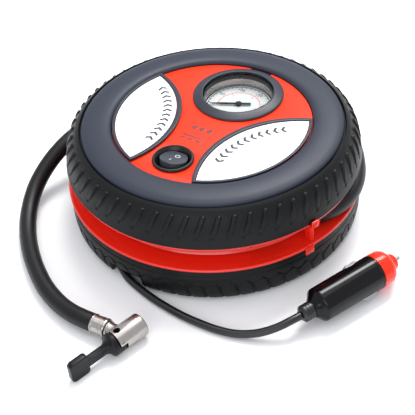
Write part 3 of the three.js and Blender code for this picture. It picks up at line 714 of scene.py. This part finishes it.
def channel():
    upper = rounded(
        [(68, 34.9), (80, 34.9), (81.3, 35.2), (81.7, 35.7), (81.7, 36.3), (81.2, 36.7), (68, 36.7)], 0.3)
    rim = solid("channel_upper_rim_smooth", lathe(upper, 240), CHANNEL_RED)
    own(rim, "case", "channel_red", "channel_upper_rim")
    tab = clip_tab("clip_tab_upper", -21, 4.6, (79, 84.2, 34.95, 36.45), (83.1, 84.2, 34.95, 39.4))
    own(tab, "case", "channel_red")

    drum = spline(
        [(72.4, 24), (71.5, 25.4), (71.05, 27.4), (71, 29.1), (71.05, 30.8), (71.5, 33.2), (72.4, 34.6)],
        0.5)
    shape = solid("channel_drum_smooth", lathe([(68, 24)] + drum + [(68, 34.6)], 240), CHANNEL_RED)
    end = polar(PORT_R, PORT_ANGLE, HOSE_Z)
    bore = solid("bore", lathe([(0, -40), (5.5, -40), (5.5, 6), (0, 6)], 48, False), CHANNEL_RED,
                 placed(end, PORT_HEADING, True))
    carve(shape, "DIFFERENCE", [bore])
    finish_mesh(shape.data, 32)
    own(shape, "case", "channel_red", "channel_drum")

    lower = [
        (68, 21.9), (83, 21.9), (83.5, 22.3), (83.5, 23), (82.9, 23.5), (81.1, 23.3), (76, 23.4), (68, 23.7)
    ]
    rim = solid("channel_lower_rim_smooth", lathe(rounded(lower, 0.3), 240), CHANNEL_RED)
    own(rim, "case", "channel_red", "channel_lower_rim")
    tab = clip_tab("clip_tab_lower", -23.3, 5.6, (81.1, 84.7, 21.95, 23.3), (83.6, 84.7, 19, 23.3))
    own(tab, "case", "channel_red")
    side = [(76.1, 23.3), (81.2, 23.3), (81, 25), (79.8, 34.8), (76.1, 34.8)]
    gate = plate(
        "channel_gate", [rounded(side, 0.5)], -1.2, 1.2, 0.35, CHANNEL_RED,
        placed((0, 0, 0), GATE_ANGLE) @ UPRIGHT)
    own(gate, "case", "channel_red")

    collar = [
        (1.4, -21.5), (3.2, -21.5), (3.2, -15), (5.1, -14), (5.1, -4.2), (4.8, -4), (4.8, -3), (5.1, -2.8),
        (5.1, 0), (1.4, 0)]
    port = solid(
        "hose_port_smooth", lathe(rounded(collar, 0.35), 64), CHANNEL_RED, placed(end, PORT_HEADING, True))
    own(port, "case", "channel_red", "hose_port")


# ------------------------------------------------ face
def face_panel():
    """The red disc, with openings for the gauge and the switch and a slot behind the gauge."""
    left, right, slot_low = -5.8, 7.6, 53.4
    edge_r = FACE_R - GAP
    start = degrees(atan2(sqrt(edge_r**2 - left**2), left))
    end = degrees(atan2(sqrt(edge_r**2 - right**2), right)) + 360
    outline = [(right, slot_low), (left, slot_low)] + circle(edge_r, (0, 0), start, end, 1.5)
    holes = [circle(21.8, GAUGE), circle(10.2, SWITCH)]
    panel = plate("face_panel", [outline] + holes, 53.3, FACE_Z, 0.35, PANEL_RED)
    own(panel, "case", "panel_red", "top_panel")


def inlays():
    for side, word in ((-1, "left"), (1, "right")):
        pocket = lens(side, 53.4, *INLAY_ARC, 53.2)
        rib = plate(
            f"{word}_inlay_rib", [lens(side, 54.9, 66, -26.1, 53.4), pocket], FACE_Z + GAP, 58.2, 0.4,
            FRAME_GREY)
        own(rib, "case", "shell_black", f"{word}_inlay_frame")
        plain = plate(
            f"{word}_inlay_plate", [lens(side, 53.1, *INLAY_ARC, 52.9)], FACE_Z + GAP, 57.7, 0.3,
            INLAY_WHITE)
        own(plain, "case", "inlay_white", f"{word}_inlay")
    own(inlay_motif("right_inlay_print", INLAY_ARC, 46.0, 128.5, 183.5), "case", "inlay_white")
    own(
        inlay_motif("left_inlay_print", (-INLAY_ARC[0], INLAY_ARC[1]), 48.0, 54.0, -4.0), "case",
        "inlay_white")


def inlay_motif(name, centre, radius, start, end):
    """A printed row of plain chevrons that follows the inlay's inner arc."""
    count = round(abs(end - start) * pi / 180 * radius / 4.1)
    chevron = [(-2.5, -1.7), (-2.5, 0.05), (0, 1.65), (2.5, 0.05), (2.5, -1.7), (0, -0.1)]
    marks = []
    for k in range(count):
        angle = start + (end - start) * k / (count - 1)
        x, y = circle(radius, centre, angle, angle + 1, 1)[0]
        marks.append(plate("mark", [chevron], 57.69, 57.74, 0.01, PRINT_GREY, placed((x, y, 0), angle)))
    return merge(name, marks, PRINT_GREY)


def bar_mark(left, right, middle, half):
    return [(left, middle - half), (right, middle - half), (right, middle + half), (left, middle + half)]


def panel_symbol():
    """A row of three small lozenges and, below it, the direct-current sign: a line over dashes."""
    outlines = [[(x - 2, -9.9), (x, -12.4), (x + 2, -9.9), (x, -7.4)] for x in (-4.6, 0, 4.6)]
    outlines.append(bar_mark(-7.6, 5.8, -17.6, 0.6))
    outlines += [bar_mark(x - 1.8, x + 1.8, -20.2, 0.6) for x in (-5.8, -0.9, 4)]
    marks = [
        plate("mark", [outline], FACE_Z - 0.01, FACE_Z + 0.05, 0.01, PANEL_MARK) for outline in outlines]
    own(merge("panel_signs", marks, PANEL_MARK), "case", "panel_red")


# ------------------------------------------------ pressure gauge
def at_gauge(height=0.0, heading=0.0):
    return placed((GAUGE[0], GAUGE[1], height), heading)


def flat_text(name, words, size, material, place):
    curve = bpy.data.curves.new(name, "FONT")
    curve.body = words
    curve.size = size * MM
    curve.align_x = "CENTER"
    curve.align_y = "CENTER"
    curve.extrude = 0.02 * MM
    mesh = curve_mesh(name, curve)
    return show(name, mesh, material, place)


def arc_band(inner, outer, start, end):
    """Outline of a flat band along an arc."""
    return circle(outer, (0, 0), start, end) + circle(inner, (0, 0), end, start)


def gauge():
    bezel = [
        (20, 58.8), (20.6, 58.8), (20.6, 48), (21.4, 48), (21.4, 56.7), (25.5, 56.7), (25.9, 57.1),
        (25.2, 57.7), (21.3, 59.2), (20.3, 59.2), (20, 59)]
    own(
        solid("gauge_bezel_ring", lathe(rounded(bezel, 0.35), 160), FRAME_GREY, at_gauge()), "case",
        "gloss_black", "gauge_bezel")
    case = [
        (0, 40.2), (20.2, 40.2), (20.2, 57), (19.7, 57), (19.5, 56.8), (19.5, 54.4), (19.5, 51.8),
        (19.3, 51.6), (19.3, 50.8), (19.5, 50.6), (19.5, 41.2), (0, 41.2)]
    cup = solid("gauge_case_cup", lathe(case, 160, False), [CHROME, GLOSS_BLACK], at_gauge())
    for face in cup.data.polygons:
        face.material_index = 1 if face.center.z > DARK_WALL_Z * MM else 0
    own(cup, "case", "chrome", "gauge_case")
    glass = [(0, 57.3), (20.1, 57.3), (20.3, 57.5), (20.3, 57.9), (20.1, 58.1), (12, 58.4), (0, 58.5)]
    own(
        solid("gauge_window", lathe(glass, 128, False), CLEAR, at_gauge()), "case", "lens_clear",
        "gauge_lens")
    card = [(1.1, 48.9), (19.1, 48.9), (19.2, 49), (19.2, 49.4), (19.1, 49.5), (1.2, 49.5), (1.1, 49.4)]
    own(solid("gauge_card", lathe(card, 128), DIAL_WHITE, at_gauge()), "case", "inlay_white", "gauge_dial")
    dial_print()
    needle()


def dial_scale(name, slot, material, radius, ticks, share, lengths, half, worth, number_r, size):
    """An arc with ticks a share of the scale's turn apart. Each fifth one is long and has a
    number, and worth is what one tick stands for."""
    low, high = DIAL_Z - 0.01, DIAL_Z + 0.04
    band = arc_band(radius - 0.2, radius + 0.2, SCALE_START - SCALE_TURN, SCALE_START)
    marks = [plate("mark", [band], low, high, 0.01, material, at_gauge())]
    for k in range(ticks):
        length = lengths[0] if k % 5 == 0 else lengths[1]
        outline = bar_mark(radius - length, radius, 0, half)
        turned = at_gauge(0, SCALE_START - SCALE_TURN * share * k)
        marks.append(plate("mark", [outline], low, high, 0.01, material, turned))
    for k in range(0, ticks, 5):
        x, y, z = polar(number_r, SCALE_START - SCALE_TURN * share * k, DIAL_Z + 0.015)
        place = placed((x + GAUGE[0], y + GAUGE[1], z))
        marks.append(flat_text("number", str(worth * k), size, material, place))
    own(merge(name, marks, material), "case", slot)


def dial_print():
    """An outer scale in black from 0 to 250 and an inner one in red from 0 to 17."""
    dial_scale(
        "dial_outer_scale", "gloss_black", BLACK_PRINT_AND_SHADE, 18, 26, 1 / 25, (1.9, 1.1), 0.17, 10, 14.8, 3.1)
    dial_scale(
        "dial_inner_scale", "channel_red", PRINT_RED, 12.3, 18, 14.5 / 250, (1.2, 0.7), 0.14, 1, 9.9, 1.9)


def needle():
    outline = [(-7, -0.75), (9.4, -0.7), (16.7, -0.15), (16.7, 0.15), (9.4, 0.7), (-7, 0.75)]
    blade = plate(
        "needle_blade", [outline], DIAL_Z + 0.8, DIAL_Z + 1.3, 0.1, BLACK_PRINT_AND_SHADE, at_gauge(0, SCALE_START))
    boss = [(0, -1.9), (0.8, -1.9), (0.8, 0.6), (1.6, 0.6), (1.8, 0.8), (1.8, 1.5), (1.4, 1.8), (0, 1.9)]
    boss = lathe(boss, 48, False)
    cap = solid("needle_boss", boss, BLACK_PRINT_AND_SHADE, at_gauge(DIAL_Z))
    carve(blade, "UNION", [cap])
    blade.name = "needle_pointer"
    finish_mesh(blade.data, 32)
    own(blade, "needle", "gloss_black", "gauge_needle")


# ------------------------------------------------ rocker switch
def switch():
    cup = [
        (0, 46.5), (9.9, 46.5), (9.9, 56.7), (10.9, 56.7), (11.1, 56.9), (11.1, 57.4), (10.6, 57.95),
        (10, 58), (9.6, 57.7), (8.2, 54.6), (7.9, 53.6), (7.9, 49.2), (0, 49.2)]
    housing = solid("switch_cup", lathe(cup, 96, False), COLLAR_BLACK, placed((*SWITCH, 0)))
    blades = [
        solid("blade", box_shape((x - 0.4, -5, 41.5), (x + 0.4, -0.5, 46.6)), BRASS, placed((*SWITCH, 0)))
        for x in (-4, 4)]
    own(housing, "case", "gloss_black", "switch_housing")
    own(merge("switch_blades", blades, BRASS), "case", "brass")

    side = [
        (ROCKER_HALF, 3), (0, ROCKER_CROWN_Z), (-ROCKER_HALF, 3), (-7.4, 0), (-6.8, -3.4), (6.8, -3.4),
        (7.4, 0)]
    rocker = plate("switch_rocker_cap", [rounded(side, 0.5)], -10, 10, 0.01, ROCKER_BLACK, LYING)
    round_edge = solid("keep", lathe([(0, -6), (7.35, -6), (7.35, 6), (0, 6)], 96, False), ROCKER_BLACK)
    carve(rocker, "INTERSECT", [round_edge])
    soften(rocker, 0.35)
    tilt = Matrix.Translation((*SWITCH, ROCKER_PIVOT_Z)) @ Matrix.Rotation(radians(ROCKER_TILT), 4, "X")
    move_mesh(rocker.data, tilt)
    own(rocker, "rocker", "gloss_black", "switch_rocker")

    slope = degrees(atan2(ROCKER_CROWN_RISE, ROCKER_HALF))
    marks = []
    ring = [circle(1.4, step=12), circle(1.0, step=12)]
    stroke = [bar_mark(-0.2, 0.2, 0, 1.0)]
    for x, y, outlines in ((0.8, 2.6, ring), (-0.6, -2.4, stroke)):
        height = ROCKER_CROWN_Z + ROCKER_CROWN_RISE * abs(y) / ROCKER_HALF
        lean = Matrix.Rotation(radians(slope if y > 0 else -slope), 4, "X")
        place = tilt @ Matrix.Translation((x, y, height)) @ lean
        marks.append(plate("mark", outlines, -0.02, 0.05, 0.01, MARK_WHITE, place))
    own(merge("rocker_marks", marks, MARK_WHITE), "rocker", "inlay_white")


# ------------------------------------------------ underside
def underside():
    holes = [circle(1.9, polar(BOSS_R, angle)[:2], step=12) for angle in BOSS_ANGLES]
    wire = circle(3, polar(30, 20)[:2], step=12)
    base = plate("base_disc", [circle(78.2)] + holes + [wire], 13.2, 15.2, 0.3, SATIN_BLACK)
    own(base, "case", "shell_black", "base_plate")

    hub = [
        (0, 2.2), (12, 2.2), (12.3, 2.6), (16.7, 2.6), (17, 2.2), (28, 2.2), (28.3, 2.6), (29.7, 2.6),
        (30, 2.2), (46.1, 2.2), (46.5, 2.6), (46.5, 12.6), (46.2, 12.9), (44.6, 12.9), (44.3, 12.6),
        (44.3, 4.4), (0, 4.4)]
    own(solid("winding_drum", lathe(hub, 160, False), SATIN_BLACK), "case", "shell_black", "winding_hub")

    for i, angle in enumerate(BOSS_ANGLES):
        foot = [(0, 0.35), (2.2, 0.35), (2.5, 0), (4.8, 0), (5.3, 0.25), (5.6, 0.7), (5.6, 1.9), (0, 1.9)]
        own(
            solid(f"foot_pad_{i + 1}", lathe(foot, 48, False), RUBBER, placed(polar(FOOT_R, angle))),
            "case", "rubber_black", f"foot_{i + 1}")
        head = [(0, 11.4), (2.4, 11.4), (2.9, 11.7), (3, 12.1), (3, 12.9), (1.1, 12.9)]
        thread = []
        for k in range(24):
            thread += [(1.1, 22 + k), (0.85, 22.5 + k)]
        screw = solid(f"screw_{i + 1}", lathe(head + thread + [(1.0, 46), (0, 46)], 32, False), STEEL,
                      placed(polar(BOSS_R, angle)))
        recess = [
            solid("cut", box_shape((-a, -b, 11), (a, b, 12.1)), STEEL, placed(polar(BOSS_R, angle), 20))
            for a, b in ((1.6, 0.32), (0.32, 1.6))]
        carve(screw, "DIFFERENCE", recess)
        finish_mesh(screw.data, 32)
        own(screw, "case", "steel", f"case_screw_{i + 1}")

    relief = [(0, -10), (2.7, -10), (2.9, -9.8), (2.9, -6)]
    for k in range(6):
        along = -5.4 + 2.4 * k
        radius = 2.8 - 0.085 * k
        relief += [
            (radius, along), (radius, along + 1.3), (radius - 0.5, along + 1.5), (radius - 0.5, along + 2.2)
        ]
    relief += [(2.3, 9.2), (2.3, 10), (0, 10)]
    own(
        solid("strain_relief_sleeve", lathe(relief, 40, False), RUBBER, placed((49.9, 0, 8.9), 90, True)),
        "case", "rubber_black", "cord_strain_relief")


# ------------------------------------------------ hose end: ferrule, chuck and lever
def chuck_place(turn=0.0, lying=True):
    return placed(CHUCK, CHUCK_HEADING + turn, lying)


def ferrule():
    profile = [
        (2.7, 9.9), (4.7, 9.9), (5, 10.1), (5.15, 10.5), (5.15, 11.1), (4.85, 11.5), (4.85, 12.6),
        (5, 12.8), (5, 13.8), (4.85, 14), (4.85, 17.1), (5.05, 17.4), (5.1, 18), (4.9, 18.4), (4.7, 18.5),
        (2.7, 18.5)]
    return own(
        solid("ferrule_crimp", lathe(profile, 64), CHROME, chuck_place(NECK_TURN), 25), "case", "chrome",
        "hose_ferrule")


def chuck():
    """A chromed barrel with a neck to one side, a slot for the lever's eye and a valve mouth."""
    barrel_profile = [
        (0, -6.2), (6.35, -6.2), (6.35, 10.1), (6.2, 10.7), (5.8, 11), (4.9, 11), (4.6, 10.7), (4.6, 5.2),
        (0, 5.2)]
    barrel = solid("chuck_barrel", lathe(barrel_profile, 128, False), CHROME, placed((0, 0, 0), 0, True))
    neck = [
        (0, 3.6), (3.9, 3.6), (3.9, 8.4), (4.4, 8.6), (4.4, 9.5), (4.2, 9.7), (2.3, 9.8), (2.3, 17), (0, 17)
    ]
    side_neck = solid("neck", lathe(neck, 64, False), CHROME, placed((0, 0, 0), NECK_TURN, True))
    carve(barrel, "UNION", [side_neck])
    pivot = placed((LEVER_PIVOT, LEVER_PIVOT, 0))
    carve(
        barrel, "DIFFERENCE",
        [
            solid(
                "slot", box_shape((-7.2, -7.2, -1.6), (LEVER_PIVOT + 2.2, LEVER_PIVOT + 2.2, 1.6)), CHROME),
            solid("hole", lathe([(0, -3.2), (1.3, -3.2), (1.3, 3.2), (0, 3.2)], 32, False), CHROME, pivot),
            solid(
                "hole", lathe([(0, 2.6), (SIGHT_HOLE_R, 2.6), (SIGHT_HOLE_R, 8), (0, 8)], 32, False),
                CHROME, placed((*SIGHT_HOLE, 0))),
            solid(
                "mouth", lathe([(0, 4.9), (4.6, 4.9), (4.6, 11.5), (0, 11.5)], 128, False), CHROME,
                placed((0, 0, 0), 0, True))])
    soften(barrel, 0.22, 38)
    # The walls inside the sight hole take the black finish: painted shade, so the hole looks dark.
    barrel.data.materials.append(BLACK_PRINT_AND_SHADE)
    for face in barrel.data.polygons:
        centre = face.center / MM
        off_axis = hypot(centre.x - SIGHT_HOLE[0], centre.y - SIGHT_HOLE[1])
        if off_axis < SIGHT_HOLE_R + 0.05 and 2.5 < centre.z < 5.2:
            face.material_index = 1
    move_mesh(barrel.data, chuck_place(0, False))
    own(barrel, "case", "chrome", "chuck_body")

    seal = [(1.6, 5.6), (4.2, 5.6), (4.2, 6.7), (3.4, 6.7), (3.1, 6.4), (2.1, 6.4), (1.6, 6.1)]
    own(
        solid("chuck_gasket", lathe(rounded(seal, 0.15), 64), RUBBER, chuck_place()), "case",
        "rubber_black", "chuck_seal")
    pin = [(0, -3), (0.8, -3), (1, -2.8), (1, 2.8), (0.8, 3), (0, 3)]
    own(
        solid("hinge_pin", lathe(pin, 32, False), STEEL, chuck_place(0, False) @ pivot), "case", "steel",
        "lever_pin")
    return barrel


def lever():
    """Eye, tongue, round shoulder, waisted arm with a hollow along its top, and paddle."""
    pivot = placed((LEVER_PIVOT, LEVER_PIVOT, 0))
    eye = solid(
        "lever_body", lathe([(1.2, -1.3), (1.9, -1.3), (1.9, 1.3), (1.2, 1.3)], 64), LEVER_BLACK, pivot)
    trumpet = [
        (0, -15.5), (2, -15), (2.4, -13.4), (2.9, -12), (3.8, -10.8), (5, -10), (5.9, -9.5), (6.2, -9),
        (6.2, -7), (6, -6.75), (0, -6.75)]
    flare = solid("part", lathe(trumpet, 64, False), LEVER_BLACK, placed((0, 0, 0), 0, True))
    arm_side = [(-24.5, -2.4), (-24.5, 2.4), (-12, 2.3), (-9, 2.6), (-9, -2.6), (-12, -2.3)]
    arm = plate("part", [rounded(arm_side, 0.4)], -1.7, 1.7, 0.25, LEVER_BLACK, UPRIGHT)
    outline = [
        (-5.4, -4.8), (-4, -6.25), (3.9, -6.25), (5.2, -5), (5.2, 5), (3.9, 6.25), (-4, 6.25), (-5.4, 4.8)]
    outline = [(x - 28.1, z) for x, z in outline]
    paddle = plate("part", [rounded(outline, 0.6)], -1.7, 1.7, 0.4, LEVER_BLACK, UPRIGHT)
    tongue = solid(
        "part", box_shape((-7.2, LEVER_PIVOT - 1.6, -1.28), (LEVER_PIVOT - 1.5, LEVER_PIVOT + 1.6, 1.28)),
        LEVER_BLACK)
    carve(eye, "UNION", [tongue, flare, arm, paddle])
    carve(
        eye, "DIFFERENCE",
        [
            plate(
                "cut", [rounded([(-22, -1.1), (-13.5, -1.1), (-13.5, 1.1), (-22, 1.1)], 0.8)], 1.9, 6, 0.1,
                LEVER_BLACK)])
    soften(eye, 0.2, 40)
    move_mesh(eye.data, chuck_place(0, False))
    eye.name = "thumb_lever_black"
    return own(eye, "thumb_lever", "gloss_black", "chuck_lever")


# ------------------------------------------------ 12 V plug
def plug_place(lying=True):
    return placed(PLUG, PLUG_HEADING, lying)


def plug_boot():
    profile = [(0, 0), (2.9, 0), (3.5, 0.5), (4.3, 1.1)]
    for k in range(3):
        along = 1.5 + 1.65 * k
        profile += [(4.45, along), (4.5, along + 1.05), (4.2, along + 1.2), (4.2, along + 1.45)]
    profile += [(4.5, 6.35), (4.45, 6.6), (0, 6.6)]
    return own(
        solid("plug_boot_ribbed", lathe(profile, 48, False), SATIN_BLACK, plug_place()), "case",
        "rubber_black", "plug_boot")


def plug_body():
    profile = [
        (0, 6.9), (4.4, 6.9), (4.8, 7.2), (5.3, 7.7), (6, 8.4), (6.6, 9.1), (7.4, 9.8), (8.2, 10.4),
        (8.7, 10.9), (9, 11.4), (9.1, 12), (9.2, 22), (9.3, 33), (9.37, 44), (PLUG_R, 46.6), (9.25, 46.8),
        (9.25, 47.2), (PLUG_R, 47.4), (PLUG_R, 48.1), (9.2, 48.3), (3.3, 48.3), (3.3, 40), (0, 40)]
    body = solid("plug_shell", lathe(profile, 144, False), GLOSS_BLACK, placed((0, 0, 0), 0, True))
    roll = Matrix.Rotation(radians(CONTACT_ROLL), 4, "X")
    cuts = [
        solid(
            "cut",
            box_shape(
                (CONTACT_ALONG - WINDOW_HALF, min(side * 3, side * 13), -1.9),
                (CONTACT_ALONG + WINDOW_HALF, max(side * 3, side * 13), 1.9)),
            GLOSS_BLACK, roll)
        for side in (-1, 1)]
    carve(body, "DIFFERENCE", cuts)
    finish_mesh(body.data, 35)
    move_mesh(body.data, plug_place(False))
    return own(body, "case", "gloss_black", "plug_body")


def plug_contact(side, word):
    along = CONTACT_ALONG
    outline = [
        (along - STRIP_HALF, 5), (along + STRIP_HALF, 5), (along + STRIP_HALF, 8), (along + 4.2, 9.4),
        (along + 2.2, 10.4), (along, 10.6), (along - 2.2, 10.4), (along - 4.2, 9.4), (along - STRIP_HALF, 8)
    ]
    strip = plate(
        f"contact_{word}_strip", [rounded(outline, 0.5)], -1.4, 1.4, 0.25, STEEL,
        plug_place(False) @ Matrix.Rotation(radians(CONTACT_ROLL) + (0 if side > 0 else pi), 4, "X"))
    return own(strip, f"contact_{word}", "steel", f"plug_contact_{word}")


def plug_nose():
    profile = [
        (2.2, 48.6), (9.2, 48.6), (PLUG_R, 48.8), (PLUG_R, 54.2), (9.25, 54.9), (8.5, 56.5), (7.9, 57),
        (5.4, 57.4), (4.9, 57.9), (4.75, 58.8), (4.5, 61.2), (4.2, 61.8), (3.8, 62), (2.3, 62), (2.2, 61.9)]
    ring = solid("plug_nose_cap", lathe(profile, 96), NOSE_RED, plug_place(), 30)
    own(ring, "case", "channel_red", "plug_nose_ring")
    pin = [(0, 44.4), (2.9, 44.4), (2.9, 48), (1.3, 48.2), (1.3, 65.3), (1.1, 66), (0.7, 66.25), (0, 66.3)]
    tip = own(
        solid("plug_centre_pin", lathe(pin, 40, False), STEEL, plug_place()), "plug_pin", "steel",
        "plug_tip_pin")
    return ring, tip


# ------------------------------------------------ inside: CAD pieces with better finishes
def carried_over():
    finishes = {
        STEEL: ("motor_can", "motor_shaft", "gearbox_bracket", "gear_axle", "valve_spring"),
        NYLON: ("motor_end_cap", "crank_gear"),
        BRASS: ("motor_pinion", "gauge_bourdon_tube", "gauge_stem"),
        ALUMINIUM: ("connecting_rod", "piston", "cylinder", "cylinder_head"),
        RUBBER: ("piston_cup", "outlet_valve", "air_tube"),
    }
    for material, names in finishes.items():
        for name in names:
            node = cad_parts[name]
            node.data.materials.clear()
            node.data.materials.append(material)


# ------------------------------------------------ stage
def stage():
    size = 3.0
    mesh = bpy.data.meshes.new("floor")
    mesh.from_pydata(
        [(-size, -size, 0), (size, -size, 0), (size, size, 0), (-size, size, 0)], [], [(0, 1, 2, 3)])
    floor = add_object("floor", mesh)
    material = bpy.data.materials.new("floor_paper")
    material.use_nodes = True
    shader = material.node_tree.nodes["Principled BSDF"]
    shader.inputs["Base Color"].default_value = (0.9, 0.905, 0.91, 1)
    shader.inputs["Roughness"].default_value = 0.85
    shader.inputs["Specular IOR Level"].default_value = 0.15
    mesh.materials.append(material)


def lamp(name, place, target, size, power, turn=0.0):
    """A soft rectangle aimed at a target. Its long side runs along the heading given."""
    data = bpy.data.lights.new(name, "AREA")
    data.shape = "RECTANGLE"
    data.size, data.size_y = size
    data.energy = power
    light = add_object(name, data)
    back = (Vector(place) - Vector(target)).normalized()
    along = Vector(polar(1.0, turn))
    along = (along - along.dot(back) * back).normalized()
    across = back.cross(along)
    frame_axes = Matrix((along, across, back)).transposed().to_4x4()
    light.matrix_world = Matrix.Translation(place) @ frame_axes


def lights():
    """A long softbox high at the back left, a broad weak one above, and a low one in front."""
    lamp("key", (-0.06, 0.48, 0.80), (0.10, -0.045, 0.01), (0.6, 0.26), 9.0, turn=PLUG_HEADING)
    lamp("overhead", (-0.1, 0.1, 1.3), (0, 0, 0.03), (1.3, 1.3), 6.5)
    lamp("front_fill", (0.35, -0.95, 0.55), (0, -0.02, 0.03), (0.9, 0.5), 3.0)
    world = bpy.data.worlds.new("studio")
    bpy.context.scene.world = world
    world.use_nodes = True
    sky = world.node_tree.nodes["Background"]
    sky.inputs["Color"].default_value = (0.93, 0.95, 1.0, 1)
    sky.inputs["Strength"].default_value = 0.85
    bpy.context.scene.view_settings.view_transform = "Standard"


# ------------------------------------------------ assembly
upper_tyre()
lower_tyre()
channel()
face_panel()
inlays()
panel_symbol()
gauge()
switch()
underside()
hose_pieces = [ferrule(), chuck(), lever(), "hinge_pin", "chuck_gasket", "hose_port_smooth"]
plug_pieces = [plug_boot(), plug_body(), plug_contact(1, "left"), plug_contact(-1, "right"), *plug_nose(),
               "strain_relief_sleeve"]
carried_over()
stage()
lights()

route_length(hose_route()) * MM
route_length(cord_route()) * MM
